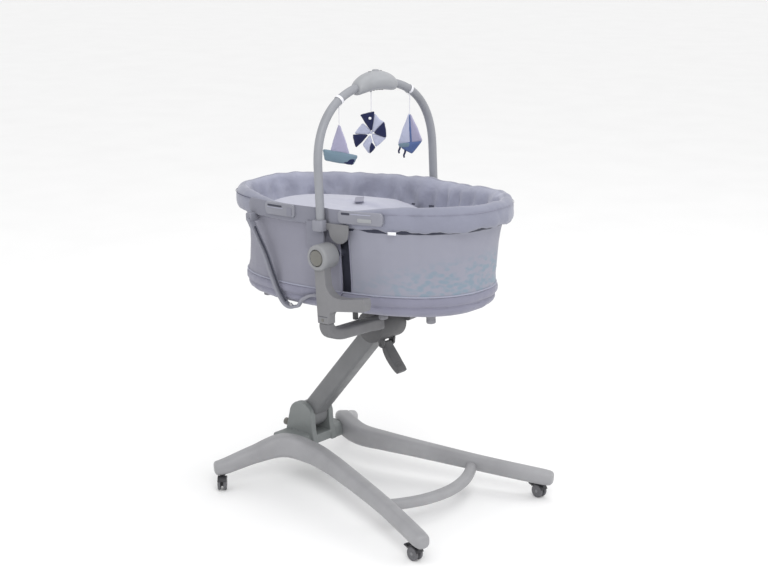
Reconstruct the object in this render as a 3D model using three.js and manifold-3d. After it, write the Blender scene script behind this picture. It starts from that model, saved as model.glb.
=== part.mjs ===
// Bassinet on a height-adjustable wheeled stand.
// Millimetres, +Z up, +X towards the foot end, the head end is -X, "right" is -Y and "left" is +Y.
// The origin is on the floor, below the middle of the whole object.
import * as THREE from 'three';
import { mergeVertices } from 'three/addons/utils/BufferGeometryUtils.js';
import Module from 'manifold-3d';

const wasm = await Module();
wasm.setup();

// ---------------------------------------------------------------- driving dimensions
const X_SHIFT = 44.117;           // middle of the wheelbase, along X, from the origin
const WHEELBASE_HALF = 383;    // caster swivel axes, along X
const TRACK_HALF = 286;        // caster swivel axes, along Y
const LEG_CLEAR = 45;          // floor to the underside of a leg's end
const LOW_PIVOT = [-286, 186]; // column's lower pivot (x, z)
const TOP_PIVOT = [4, 529];    // column's upper pivot (x, z)
const COL_W = 58;              // column width, along Y
const COL_T = 56;              // column thickness
const SWING = 33;              // degrees that the column lowers through
const LINK_OFF = [-7.73, 11.67]; // levelling link's pivots, from the column's pivots
const PIN_R = 6;
const HUB_R = 47;              // top hub barrel
const HUB_HALF = 55;
const SEAT_TILT = 3.08 * Math.PI / 180; // head end of the basket sits lower
const SEAT_Z = 780;            // height that the tilt is taken about
const KNOB = [29.5, 781.5];    // basket pivot (x, z) in the seat frame
const KNOB_R = 36;
const RIM_CX = -38.8;          // rim outline: superellipse centre, half length, half width, power
const RIM_A = 464;
const RIM_B = 233;
const RIM_N = 2.4;
const RIM_TOP = 922;
const ARCH_HALF = 243;         // toy arch: half width between leg centres
const ARCH_TOP = 1222;         // centre line of the tube at the top
const ARCH_R = 12;
const STRING_Y = 149;          // outer toys, from the middle
const PIN_Y = -16;             // middle toy
const WHEEL_R = 20;

// ---------------------------------------------------------------- helpers
const V = (x, y, z) => new THREE.Vector3(x, y, z);

// closed solid through rings of points; ring ends are capped, or the loop is closed
function loft(rings, loop = false) {
  const n = rings[0].length, m = rings.length, pos = [], idx = [];
  for (const r of rings) for (const p of r) pos.push(p.x, p.y, p.z);
  for (let i = 0; i < (loop ? m : m - 1); i++) {
    const a = i * n, b = ((i + 1) % m) * n;
    for (let j = 0; j < n; j++) {
      const k = (j + 1) % n;
      idx.push(a + j, a + k, b + k, a + j, b + k, b + j);
    }
  }
  if (!loop) {
    for (let j = 1; j < n - 1; j++) {
      idx.push(0, j + 1, j);
      const e = (m - 1) * n;
      idx.push(e, e + j, e + j + 1);
    }
  }
  let vol = 0;
  for (let t = 0; t < idx.length; t += 3) {
    const [p, q, r] = [0, 1, 2].map((k) => V(...pos.slice(idx[t + k] * 3, idx[t + k] * 3 + 3)));
    vol += p.dot(q.cross(r));
  }
  if (vol < 0) for (let t = 0; t < idx.length; t += 3) [idx[t], idx[t + 1]] = [idx[t + 1], idx[t]];
  const g = new THREE.BufferGeometry();
  g.setAttribute('position', new THREE.Float32BufferAttribute(pos, 3));
  g.setIndex(idx);
  return g;
}

// rounded rectangle as [u, v] points, k points per corner
function rrect(w, h, r, k = 3) {
  const out = [];
  r = Math.min(r, w / 2 - 0.01, h / 2 - 0.01);
  for (const [cx, cy, a0] of [[w / 2 - r, h / 2 - r, 0], [-w / 2 + r, h / 2 - r, 90], [-w / 2 + r, -h / 2 + r, 180], [w / 2 - r, -h / 2 + r, 270]]) {
    for (let i = 0; i < k; i++) {
      const a = (a0 + 90 * i / (k - 1)) * Math.PI / 180;
      out.push([cx + r * Math.cos(a), cy + r * Math.sin(a)]);
    }
  }
  return out;
}
const ngon = (r, k) => Array.from({ length: k }, (_, i) => [r * Math.cos(2 * Math.PI * i / k), r * Math.sin(2 * Math.PI * i / k)]);

// sweep of a section along points; 'up' fixes the section's v axis
function sweep(pts, section, up = V(0, 0, 1), loop = false) {
  const m = pts.length;
  const rings = pts.map((p, i) => {
    const a = pts[loop ? (i + m - 1) % m : Math.max(i - 1, 0)], b = pts[loop ? (i + 1) % m : Math.min(i + 1, m - 1)];
    const t = b.clone().sub(a).normalize();
    const s = t.clone().cross(up).normalize(), v = s.clone().cross(t).normalize();
    return section(i / (m - 1), i).map(([x, y]) => p.clone().addScaledVector(s, x).addScaledVector(v, y));
  });
  return loft(rings, loop);
}
const spline = (pts, k) => new THREE.CatmullRomCurve3(pts.map((p) => V(...p)), false, 'centripetal').getPoints(k);

function solid(g) {
  const c = g.clone();
  for (const name of Object.keys(c.attributes)) if (name !== 'position') c.deleteAttribute(name);
  const m = mergeVertices(c, 1e-4);
  return new wasm.Manifold(new wasm.Mesh({
    numProp: 3,
    vertProperties: new Float32Array(m.attributes.position.array),
    triVerts: new Uint32Array(m.index.array),
  }));
}
function geom(man) {
  const mesh = man.getMesh(), g = new THREE.BufferGeometry();
  g.setAttribute('position', new THREE.Float32BufferAttribute(mesh.vertProperties, 3));
  g.setIndex(Array.from(mesh.triVerts));
  g.computeVertexNormals();
  return g;
}
const join = (first, ...rest) => rest.reduce((a, b) => a.add(b), first);
const cut = (first, ...rest) => rest.reduce((a, b) => a.subtract(b), first);

const box = (x0, x1, y0, y1, z0, z1) => solid(new THREE.BoxGeometry(x1 - x0, y1 - y0, z1 - z0).translate((x0 + x1) / 2, (y0 + y1) / 2, (z0 + z1) / 2));
const cylY = (x, z, r, y0, y1, k = 24) => solid(new THREE.CylinderGeometry(r, r, Math.abs(y1 - y0), k).translate(0, (y0 + y1) / 2, 0).translate(x, 0, z));
const cylZ = (x, y, r, z0, z1, k = 16) => solid(new THREE.CylinderGeometry(r, r, z1 - z0, k).rotateX(Math.PI / 2).translate(x, y, (z0 + z1) / 2));
// plate: outline in X-Z, thickness along Y from y0 to y1, with rounded edges where bevel > 0
function plateXZ(points, y0, y1, bevel = 0) {
  const s = new THREE.Shape(points.map(([x, z]) => new THREE.Vector2(x, z)));
  const g = new THREE.ExtrudeGeometry(s, bevel
    ? { depth: y1 - y0 - 2 * bevel, bevelEnabled: true, bevelThickness: bevel, bevelSize: bevel, bevelOffset: -bevel, bevelSegments: 2 }
    : { depth: y1 - y0, bevelEnabled: false });
  return solid(g.rotateX(Math.PI / 2).translate(0, y1 - bevel, 0));
}
const arcPts = (cx, cz, r, a0, a1, k) => Array.from({ length: k + 1 }, (_, i) => {
  const a = (a0 + (a1 - a0) * i / k) * Math.PI / 180;
  return [cx + r * Math.cos(a), cz + r * Math.sin(a)];
});

// rim-shaped loop, offset by d all round and by e more at the two ends, its middle moved by sx
function oval([d, z, e = 0, sx = 0], k = 36) {
  return Array.from({ length: k }, (_, i) => {
    const t = 2 * Math.PI * (i + 0.5) / k, c = Math.cos(t), s = Math.sin(t), q = 2 / RIM_N;
    return V(RIM_CX + sx + (RIM_A + d + e) * Math.sign(c) * Math.abs(c) ** q, (RIM_B + d) * Math.sign(s) * Math.abs(s) ** q, z);
  });
}
// ring swept round the rim shape; profile is a closed list of such loops
function ovalRing(profile, k = 36) {
  const loops = profile.map((l) => oval(l, k));
  return loft(Array.from({ length: k }, (_, i) => loops.map((l) => l[i])), true);
}
const ovalSolid = (levels, k = 36) => loft(levels.map((l) => oval(l, k)));
// half width of the rim shape at x
const ovalY = (x, d) => (RIM_B + d) * Math.max(0, 1 - Math.abs((x - RIM_CX) / (RIM_A + d)) ** RIM_N) ** (1 / RIM_N);

const mat = (hex, roughness = 0.55, metalness = 0) => new THREE.MeshStandardMaterial({ color: hex, roughness, metalness });
const M = {
  grey: mat(0x97979b, 0.5), midgrey: mat(0x7f8083, 0.5), dark: mat(0x4a4a4d, 0.5), black: mat(0x232327, 0.6),
  arch: mat(0xb4b4b3, 0.45), fabric: mat(0x9a9caf, 0.9), rim: mat(0xa2a6ba, 0.9), mattress: mat(0xc3c4d2, 0.9),
  steel: mat(0xb0b2b5, 0.35, 0.9), tyre: mat(0x8e8e92, 0.6), ribbon: mat(0xe2e2e6, 0.8), lilac: mat(0xaaa9c0, 0.9),
  blue: mat(0x4b5d92, 0.9), navy: mat(0x1c2344, 0.9), board: mat(0x5c5c60, 0.7),
};
const root = new THREE.Group();
root.position.x = X_SHIFT;
const seatOuter = new THREE.Group();
seatOuter.position.z = SEAT_Z;
seatOuter.rotation.y = -SEAT_TILT;
const seat = new THREE.Group();
seat.position.z = -SEAT_Z;
seatOuter.add(seat);
root.add(seatOuter);
function put(parent, name, g, material) {
  const geo = g instanceof THREE.BufferGeometry ? g : geom(g);
  if (!geo.attributes.normal) geo.computeVertexNormals();
  const m = new THREE.Mesh(geo, material);
  m.name = name;
  parent.add(m);
  return m;
}
const toWorld = (x, z) => [x * Math.cos(SEAT_TILT) - (z - SEAT_Z) * Math.sin(SEAT_TILT), SEAT_Z + x * Math.sin(SEAT_TILT) + (z - SEAT_Z) * Math.cos(SEAT_TILT)];
const toSeat = (x, z) => [x * Math.cos(SEAT_TILT) + (z - SEAT_Z) * Math.sin(SEAT_TILT), SEAT_Z - x * Math.sin(SEAT_TILT) + (z - SEAT_Z) * Math.cos(SEAT_TILT)];

// ---------------------------------------------------------------- base
// one boomerang leg per side: rear caster, hub shoulder, front caster  [x, |y|, z, width, depth]
const LEG = [
  [-396, 306, 65, 38, 40], [-383, 286, 67, 44, 44], [-330, 203, 97, 48, 52], [-272, 134, 121, 52, 68], [-180, 107, 111, 54, 60],
  [-90, 124, 106, 52, 54], [0, 150, 100, 50, 49], [200, 214, 84, 47, 44], [383, 285, 67, 45, 44], [413, 297, 65, 40, 40],
];
function leg(side, grow = 0) {
  const K = 14, pts = spline(LEG.map(([x, y, z]) => [x, side * y, z]), K);
  const w = spline(LEG.map(([, , , a, b]) => [a, b, 0]), K);
  return sweep(pts, (t, i) => {
    const end = i === 0 || i === K ? 0.7 : 1;
    return rrect(w[i].x * end + 2 * grow, w[i].y * end + 2 * grow, 17 * end, 3);
  });
}
const stem = (x, side) => cylZ(x, side * TRACK_HALF, 6, 30, 62, 12);
for (const [side, tag] of [[-1, 'right'], [1, 'left']]) {
  put(root, `base_leg_${tag}`, cut(solid(leg(side)), stem(-WHEELBASE_HALF, side), stem(WHEELBASE_HALF, side)), M.grey);
}
const grownLegs = [solid(leg(-1, 0.4)), solid(leg(1, 0.4))];
// curved bar between the two front legs
const barPts = spline([[172, -212, 77], [203, -172, 76], [240, -92, 75], [255, 0, 75], [240, 92, 75], [203, 172, 76], [172, 212, 77]], 11);
put(root, 'cross_bar', cut(solid(sweep(barPts, () => rrect(32, 30, 12, 3))), ...grownLegs), M.grey);

// hub housing: two domed cheeks that hold the column, on a block between the legs
{
  const [px, pz] = LOW_PIVOT;
  const cheek = (y0, y1) => plateXZ([[-352, 104], [-346, 140], ...arcPts(px, pz, 47, 172, -4, 9), [-236, 150], [-226, 104]], y0, y1, 5);
  let hub = join(cheek(-49, -29.6), cheek(29.6, 49), box(-340, -232, -40, 40, 106, 134),
    plateXZ([[-350, 96], [-346, 140], [-246, 140], [-230, 96]], -104, -46), plateXZ([[-350, 96], [-346, 140], [-246, 140], [-230, 96]], 46, 104));
  const knobX = (r, x0, x1) => solid(new THREE.CylinderGeometry(r, r, x1 - x0, 12).rotateZ(Math.PI / 2).translate((x0 + x1) / 2, -39, 152));
  hub = cut(hub, ...grownLegs, cylY(px, pz, PIN_R + 0.3, -44, 44, 16), knobX(11.6, -360, -318));
  put(root, 'hub_housing', hub, M.midgrey);
  put(root, 'hub_button', knobX(11, -358, -328), M.dark);
}
// pivot pins: a shaft with a short crank that carries the levelling link
function crankPin([x, z], half) {
  const [ox, oz] = LINK_OFF, dir = Math.atan2(oz, ox) * 180 / Math.PI;
  const ear = (y0, y1) => plateXZ([...arcPts(x + ox, z + oz, 6, dir - 90, dir + 90, 5), ...arcPts(x, z, 8, dir + 90, dir + 270, 5)], y0, y1);
  return join(cylY(x, z, PIN_R, -half, half, 12), ear(-9.4, -6.4), ear(6.4, 9.4), cylY(x + ox, z + oz, 3, -7, 7, 8));
}
put(root, 'lower_pivot_pin', crankPin(LOW_PIVOT, 43), M.steel);
put(root, 'upper_pivot_pin', crankPin(TOP_PIVOT, 52), M.steel);

// ---------------------------------------------------------------- column
{
  const dx = TOP_PIVOT[0] - LOW_PIVOT[0], dz = TOP_PIVOT[1] - LOW_PIVOT[1], L = Math.hypot(dx, dz), ang = Math.atan2(dz, dx);
  const place = (man, ox, oz) => geom(man).rotateY(-ang).translate(LOW_PIVOT[0] + ox, 0, LOW_PIVOT[1] + oz);
  const bar = (x0, x1, w, t, r) => solid(loft([x0, x1].map((x) => rrect(w, t, r, 3).map(([u, v]) => V(x, u, v)))));
  let col = join(bar(0, L, COL_W, COL_T, 11), cylY(0, 0, 42, -COL_W / 2, COL_W / 2, 24), cylY(L, 0, 40, -COL_W / 2, COL_W / 2, 24));
  col = cut(col, bar(48, L - 46, COL_W - 10, COL_T - 10, 6), bar(0, L, 22, COL_T - 10, 1), cylY(0, 0, 24, -11, 11, 12), cylY(L, 0, 24, -11, 11, 12),
    cylY(0, 0, PIN_R + 0.3, -50, 50, 12), cylY(L, 0, PIN_R + 0.3, -50, 50, 12));
  put(root, 'column_shell', place(col, 0, 0), M.midgrey);
  // levelling link inside the column
    let link = join(bar(0, L, 12, 9, 2), cylY(0, 0, 6, -6, 6, 12), cylY(L, 0, 6.5, -6, 6, 12));
  link = cut(link, cylY(0, 0, 3.4, -10, 10, 12), cylY(L, 0, 4.2, -10, 10, 12));
  put(root, 'levelling_link', place(link, ...LINK_OFF), M.steel);
}

// ---------------------------------------------------------------- carriage: hub, lever, yoke, side brackets
{
  const [x, z] = TOP_PIVOT;
  const wedge = plateXZ([[x, z], ...arcPts(x, z, 70, 150, 276, 9)], -41.4, 41.4);
  let hub = cut(cylY(x, z, HUB_R, -HUB_HALF, HUB_HALF, 28), cylY(x, z, 41.5, -41.4, 41.4, 28), wedge, cylY(x, z, PIN_R + 0.3, -53, 53, 16));
  const ear = (y0, y1) => plateXZ([[x + 7, z - 44], [x + 30, z - 38], [32, 470], [24, 463], [14, 466]], y0, y1);
  hub = cut(join(hub, ear(-26, -19), ear(19, 26)), cylY(22, 473, 3.4, -30, 30, 12));
  put(root, 'top_hub', hub, M.dark);
  // release lever under the hub, with its own trunnions
  const paddle = solid(sweep(spline([[20, 0, 477], [30, 0, 455], [54, 0, 424], [80, 0, 398]], 6), (t) => rrect(35, 12 + 9 * Math.sin(Math.PI * Math.min(1, t * 0.8 + 0.15)), 5, 3)));
  put(root, 'height_lever', join(paddle, cylY(22, 473, 7, -17.5, 17.5, 16), cylY(22, 473, 2.9, -25.5, 25.5, 12)), M.dark);
}
for (const [side, tag] of [[-1, 'right'], [1, 'left']]) {
  const yy = (a, b) => (side < 0 ? [-b, -a] : [a, b]);
  // yoke arm: out from the hub under the basket, then up to the side bracket
  const path = spline([[27, side * 56, 550], [27, side * 72, 550], [34, side * 120, 556], [38, side * 190, 559], [38, side * 240, 562], [36, side * 266, 572], [35, side * 275, 587], [35, side * 275.5, 597]], 12);
  const arm = sweep(path, (t) => rrect(t < 0.75 ? 36 - 4 * t : 28 + (1 - t) * 20, 46 - 8 * t, 8, 3), V(1, 0, 0));
  put(seat, `yoke_arm_${tag}`, solid(arm), M.midgrey);
  // short strut that the basket's tray comes down on
  put(seat, `support_strut_${tag}`, box(21, 34, ...yy(146, 156), 579, 608), M.dark);
  // side bracket: post, foot arm and domed knob housing in one moulding
  const [kx, kz] = KNOB;
  const post = plateXZ([[15, 597.4], [55, 597.4], [56, 622], [66, 634], [84, 638], [186, 650], [191, 668], [188, 686], [110, 675], [78, 677], [60, 688], [50, 706], [48, 770], [12, 770], [13, 690]], ...yy(262, 290), 3);
  const dome = plateXZ(arcPts(kx, kz, KNOB_R, 0, 342, 19), ...yy(242.5, 300), 6);
  put(seat, `side_bracket_${tag}`, cut(join(post, dome), cylY(kx, kz, 23.2, ...yy(288, 305), 20), cylY(kx, kz, 13.2, ...yy(240, 262), 16)), M.grey);
  put(seat, `knob_button_${tag}`, cylY(kx, kz, 22, ...yy(291.5, 302), 20), M.dark);
}

// ---------------------------------------------------------------- basket
// floor tray with its feet  [x, |y|, top]
const FEET = [[-366, 105, 626], [122, 140, 614.5], [264, 105, 626]];
{
  const pan = (t) => solid(ovalSolid([[-66 - t, 612.5 + t, -38, -18], [-50 - t, 619 + t, -38, -19], [-34 - t, 637 + t / 2, -35, -22], [-31 - t, 650 + t / 8, -35, -21]]));
  let tray = cut(pan(0), pan(4));
  for (const [fx, fy, top] of FEET) for (const s of [-1, 1]) tray = tray.add(cylZ(fx, s * fy, 13, 591, top, 12));
  put(seat, 'base_tray', tray, M.midgrey);
}
// fabric sides, in two halves that meet at a slit beside each bracket
{
  const wall = [[-6, 856, -22], [-14, 824, -33], [-16, 760, -38, -6], [-17, 700, -38, -13], [-14, 672, -36, -18], [-18, 640, -35, -22], [-34, 620, -38, -20], [-62, 609, -39, -18],
    [-62, 611, -39, -18], [-41, 621, -38, -20], [-27, 641, -35, -22], [-23, 672, -36, -18], [-25, 700, -38, -13], [-24, 760, -38, -6], [-22, 824, -33], [-14, 856, -22]];
  const holes = FEET.flatMap(([fx, fy]) => [-1, 1].map((s) => cylZ(fx, s * fy, 14, 580, 640, 12)));
  const ring = cut(solid(ovalRing(wall)), cylY(...KNOB, 15, -260, 260, 16), ...holes);
  put(seat, 'fabric_side_head', cut(ring, box(40, 700, -300, 300, 560, 900)), M.fabric);
  put(seat, 'fabric_side_foot', cut(ring, box(-700, 76, -300, 300, 560, 900)), M.fabric);
}
// rim: tube inside a padded fabric roll
put(seat, 'rim_tube', solid(ovalRing([[-13.5, 875], [-13.5, 885], [-17, 890], [-23, 890], [-26.5, 885], [-26.5, 875], [-23, 870], [-17, 870]])), M.steel);
{
  let roll = solid(ovalRing([[-12, 857], [-3, 861], [2, 880], [0, 904], [-7, 917], [-20, RIM_TOP], [-33, 917], [-41, 905], [-42, 880], [-38, 860], [-28, 857], [-28, 893], [-12, 893]]));
  for (const s of [-1, 1]) roll = roll.subtract(cylZ(0, s * ARCH_HALF, ARCH_R + 2, 840, 930, 16));
  put(seat, 'rim_pad', roll, M.rim);
}
for (const [side, tag] of [[-1, 'right'], [1, 'left']]) {
  const yy = (a, b) => (side < 0 ? [-b, -a] : [a, b]);
  // grip plates let into the outside of the rim, near the head and the foot
  for (const [end, x0, x1] of [['head', -226, -102], ['foot', 62, 204]]) {
    const pts = Array.from({ length: 7 }, (_, i) => { const x = x0 + (x1 - x0) * i / 6; return V(x, side * (ovalY(x, 2.3) + 4), 889); });
    put(seat, `grip_${end}_${tag}`, solid(sweep(pts, () => rrect(7, 36, 2.5, 2))), M.midgrey);
  }
  // side plate with the trunnion that turns in the knob housing
  const plate = plateXZ([[-40, 655], [112, 655], [112, 700], [112, 850], [-40, 850]], ...yy(186, 194), 0);
  put(seat, `side_plate_${tag}`, join(plate, cylY(...KNOB, 12.8, ...yy(188, 259), 16)), M.board);
  // tab below the rim, with the cup that the toy arch plugs into
  const tab = plateXZ([[-58, 868], [-58, 806], [-48, 797], [2, 797], [5, 801], [6, 850], [26, 850], [30, 832], [42, 820], [58, 814], [76, 817], [90, 828], [96, 846], [98, 868]], ...yy(236, 241.6), 0);
  const cup = plateXZ([[-19, 846], [19, 846], [19, 876], [-19, 876]], ...yy(236, 261), 2);
  put(seat, `arch_socket_${tag}`, cut(join(tab, cup), cylZ(0, side * ARCH_HALF, ARCH_R + 0.6, 852, 900, 16)), M.midgrey);
  // side rail: from the rim at the head end down across the fabric and along the tray
  const rail = spline([[-298, side * 227, 850], [-283.6, side * 227, 825], [-264, side * 226.5, 789], [-243.9, side * 226, 753.4], [-218.7, side * 225, 692.3], [-199.8, side * 222, 645.6], [-183, side * 219, 617], [-172, side * 217, 603], [-158, side * 216, 597.5], [-142, side * 217, 601], [-126, side * 221, 613], [-100, side * 230, 636], [-60, side * 234, 654], [-20, side * 234, 660]], 15);
  put(seat, `side_rail_${tag}`, solid(sweep(rail, () => rrect(9, 24, 3, 2), V(0, 1, 0))), M.grey);
}
// boards under the mattress, hinged line at the trunnions
put(seat, 'head_board', cut(solid(ovalSolid([[-50, 764, -38, -4], [-49.5, 774, -38, -4]], 28)), box(22, 700, -300, 300, 700, 900)), M.board);
put(seat, 'foot_board', cut(solid(ovalSolid([[-50, 764, -38, -4], [-49.5, 774, -38, -4]], 28)), box(-700, 30, -300, 300, 700, 900)), M.board);
// mattress: high at the head half, dropping towards the foot
{
  const m = solid(ovalSolid([[-57, 776, -36, -4], [-50, 790, -34, -4], [-50, 836, -32], [-57, 848, -32], [-74, 854, -32]], 28));
  const drop = plateXZ([[-70, 880], [-70, 854.5], [-20, 846], [40, 832], [110, 824], [600, 818], [600, 880]], -300, 300);
  put(seat, 'mattress', m.subtract(drop), M.mattress);
}

// ---------------------------------------------------------------- toy arch
{
  const K = 28, z0 = 1010, h = ARCH_TOP - z0, n = 2.35, pts = [];
  for (const z of [853, 900, 960]) pts.push(V(0, -ARCH_HALF, z));
  for (let i = 0; i <= K - 8; i++) {
    const a = Math.PI * i / (K - 8);
    pts.push(V(0, -ARCH_HALF * Math.sign(Math.cos(a)) * Math.abs(Math.cos(a)) ** (2 / n), z0 + h * Math.max(0, Math.sin(a)) ** (2 / n)));
  }
  for (const z of [960, 900, 853]) pts.push(V(0, ARCH_HALF, z));
  const tube = solid(sweep(pts, () => ngon(ARCH_R, 12), V(1, 0, 0)));
  put(seat, 'toy_arch', tube, M.arch);
  // music box: a pod that wraps the top of the arch
  const pod = solid(loft([-78, -60, -30, 0, 30, 60, 78].map((y) => {
    const q = Math.sqrt(Math.max(0.02, 1 - (y / 82) ** 2)), zc = ARCH_TOP + 8 - 16 * (y / 78) ** 2;
    return ngon(1, 14).map(([u, v]) => V(u * (17 + 14 * q), y, zc + v * (15 + 12 * q)));
  })));
  const keyhole = cylZ(0, 6, 10.4, ARCH_TOP + 25, ARCH_TOP + 60, 16);
  put(seat, 'music_box', cut(pod, solid(sweep(pts, () => ngon(ARCH_R + 0.3, 12), V(1, 0, 0))), keyhole), M.arch);
  put(seat, 'music_button', cylZ(0, 6, 9.8, ARCH_TOP + 26.5, ARCH_TOP + 38.5, 16), M.grey);
}

// ---------------------------------------------------------------- toys, hanging plumb
// string: top point under the arch, its length, then the toy
const HANG = [['boat_toy', -STRING_Y, 1172, 58], ['pinwheel_toy', PIN_Y, 1196, 64], ['sailboat_toy', STRING_Y, 1172, 58]];
const shapeSolid = (pts, t) => {
  const g = new THREE.ExtrudeGeometry(new THREE.Shape(pts.map(([a, b]) => new THREE.Vector2(a, b))), { depth: t - 4, bevelEnabled: true, bevelThickness: 2, bevelSize: 2, bevelOffset: -2, bevelSegments: 1 });
  return solid(g.translate(0, 0, -(t - 4) / 2).rotateX(Math.PI / 2));
};
for (const [name, y, zTop, len] of HANG) {
  const [wx, wz] = toWorld(0, zTop);
  const string = new THREE.ExtrudeGeometry(new THREE.Shape(ngon(1.3, 8).map(([a, b]) => new THREE.Vector2(a, b))), {
    steps: 5, bevelEnabled: false, extrudePath: new THREE.LineCurve3(V(0, 0, -0.5), V(0, 0, -len)),
  });
  const s = put(root, name.replace('_toy', '_string'), string, M.ribbon);
  s.position.set(wx, y, wz);
  let toy;
  if (name === 'boat_toy') {
    toy = join(shapeSolid([[0, 0], [25, -62], [-25, -62]], 12), shapeSolid([[-52, -60], [52, -60], [38, -86], [-42, -86]], 18));
  } else if (name === 'pinwheel_toy') {
    const blades = [];
    for (let i = 0; i < 4; i++) {
      const r = (a, q) => [q * Math.cos((a + 90 * i) * Math.PI / 180), -46 + q * Math.sin((a + 90 * i) * Math.PI / 180)];
      blades.push(shapeSolid([r(0, 5), r(52, 44), r(98, 48), r(140, 34), r(150, 5)], 10));
    }
    toy = join(cylY(0, -46, 12, -6, 6, 16), ...blades);
  } else {
    toy = join(shapeSolid([[0, 0], [36, -80], [-36, -80]], 12), shapeSolid([[-36, -78], [36, -78], [8, -106], [-22, -100]], 16));
  }
  const m = put(root, name, toy, name === 'pinwheel_toy' ? M.navy : name === 'boat_toy' ? M.lilac : M.blue);
  m.position.set(wx, y, wz - len - 0.4);
  m.rotation.set(0, 0, 30 * Math.PI / 180);
}

// ---------------------------------------------------------------- casters
const CASTERS = [['rear_right', -1, -1, 131], ['front_right', 1, -1, -8], ['rear_left', -1, 1, -131], ['front_left', 1, 1, -8]];
for (const [tag, sx, sy, deg] of CASTERS) {
  const g = new THREE.Group();
  g.position.set(sx * WHEELBASE_HALF, sy * TRACK_HALF, 0);
  g.rotation.z = deg * Math.PI / 180;
  root.add(g);
  // twin wheel on its axle: one turned profile round the axle line
  const prof = [[0, -13], [17, -13], [WHEEL_R, -11], [WHEEL_R, -5.5], [WHEEL_R - 1, -4.5], [2.8, -4.5], [2.8, 4.5], [WHEEL_R - 1, 4.5], [WHEEL_R, 5.5], [WHEEL_R, 11], [17, 13], [0, 13]];
  const wheels = new THREE.LatheGeometry(prof.map(([r, h]) => new THREE.Vector2(r, h)), 14);
  const w = put(g, `wheels_${tag}`, solid(wheels), M.tyre);
  w.position.set(-12, 0, WHEEL_R);
  // hood: web between the wheels, thin fender over them, stem up into the leg
  const ax = -12, az = WHEEL_R;
  const web = plateXZ([...arcPts(ax, az, 9, 180, 300, 5), [6, 30], [8, 43], [-10, 42.5], [-24, 41.5]], -3.4, 3.4);
  const fender = plateXZ([...arcPts(ax, az, 23, 20, 150, 6), ...arcPts(ax, az, 21.2, 150, 20, 6)], -13, 13);
  const hood = join(web, fender, cylZ(0, 0, 9, 42.5, 44.6, 10), cylZ(0, 0, 5.6, 40, 61, 10));
  put(g, `caster_hood_${tag}`, cut(hood, cylY(ax, az, 3.4, -10, 10, 10)), M.black);
  if (sx > 0) {
    // brake tab behind the hood
    const tab = plateXZ([[-37.5, 31], [-47, 33], [-48, 36.5], [-37.5, 36.5], [-34, 34.5], [-34, 31]], -9, 9);
    put(g, `brake_tab_${tag}`, tab, M.black);
  }
}

export default root;
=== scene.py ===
# Visual model of the bassinet on its stand. Millimetres in the helpers, metres in Blender.
import math

import bmesh
import bpy
import numpy as np
from mathutils import Matrix, Vector, noise

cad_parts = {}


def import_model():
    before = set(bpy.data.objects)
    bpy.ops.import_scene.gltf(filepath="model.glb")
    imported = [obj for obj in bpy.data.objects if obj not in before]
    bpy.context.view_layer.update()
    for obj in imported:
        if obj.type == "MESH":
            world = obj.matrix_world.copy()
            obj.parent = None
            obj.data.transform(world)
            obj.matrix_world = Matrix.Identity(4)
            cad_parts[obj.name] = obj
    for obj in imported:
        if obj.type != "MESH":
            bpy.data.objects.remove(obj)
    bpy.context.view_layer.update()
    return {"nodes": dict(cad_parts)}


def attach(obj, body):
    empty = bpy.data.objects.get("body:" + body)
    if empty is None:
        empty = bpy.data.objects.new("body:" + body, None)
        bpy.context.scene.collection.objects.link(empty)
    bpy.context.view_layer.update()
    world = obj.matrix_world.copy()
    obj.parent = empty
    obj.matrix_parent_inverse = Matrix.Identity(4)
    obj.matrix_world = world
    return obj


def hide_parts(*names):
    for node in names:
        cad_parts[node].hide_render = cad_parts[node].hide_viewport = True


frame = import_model()
NODES = frame["nodes"]
scene = bpy.context.scene

XS = 44.117
TILT, SEAT_Z = math.radians(3.08), 780.0
ST, CT = math.sin(TILT), math.cos(TILT)
LOW, TOP, OFF = (-286, 186), (4, 529), (-7.73, 11.67)
KNOB = (29.5, 781.5)
CX, RA, RB, RN = -38.8, 464.0, 233.0, 2.4
ARCH_HALF, ARCH_TOP, ARCH_R = 243.0, 1222.0, 12.0


# ---------------------------------------------------------------- frames and curves
def seat(p):
    p = np.asarray(p, float)
    x, z = p[..., 0], p[..., 2] - SEAT_Z
    return np.stack([x * CT - z * ST + XS, p[..., 1], SEAT_Z + x * ST + z * CT], -1)


def world(p):
    return np.asarray(p, float) + np.array([XS, 0.0, 0.0])


def catmull(points, k):
    P = np.asarray(points, float)
    n = len(P)
    out = []
    for i in range(k + 1):
        p = (n - 1) * i / k
        a = int(math.floor(p))
        w = p - a
        if a >= n - 1:
            a, w = n - 2, 1.0
        p1, p2 = P[a], P[a + 1]
        p0 = P[a - 1] if a > 0 else 2 * P[0] - P[1]
        p3 = P[a + 2] if a + 2 < n else 2 * P[-1] - P[-2]
        d = [max(1e-4, np.linalg.norm(v) ** 0.5) for v in (p1 - p0, p2 - p1, p3 - p2)]
        t1 = ((p1 - p0) / d[0] - (p2 - p0) / (d[0] + d[1]) + (p2 - p1) / d[1]) * d[1]
        t2 = ((p2 - p1) / d[1] - (p3 - p1) / (d[1] + d[2]) + (p3 - p2) / d[2]) * d[1]
        out.append(p1 + t1 * w + (-3 * p1 + 3 * p2 - 2 * t1 - t2) * w * w + (2 * p1 - 2 * p2 + t1 + t2) * w**3)
    return np.array(out)


def rrect(w, h, r, k=6):
    r = min(r, w / 2 - 0.01, h / 2 - 0.01)
    out = []
    for cx, cy, a0 in ((w / 2 - r, h / 2 - r, 0), (-w / 2 + r, h / 2 - r, 90), (-w / 2 + r, -h / 2 + r, 180), (w / 2 - r, -h / 2 + r, 270)):
        for i in range(k):
            a = math.radians(a0 + 90 * i / (k - 1))
            out.append((cx + r * math.cos(a), cy + r * math.sin(a)))
    return np.array(out)


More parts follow.
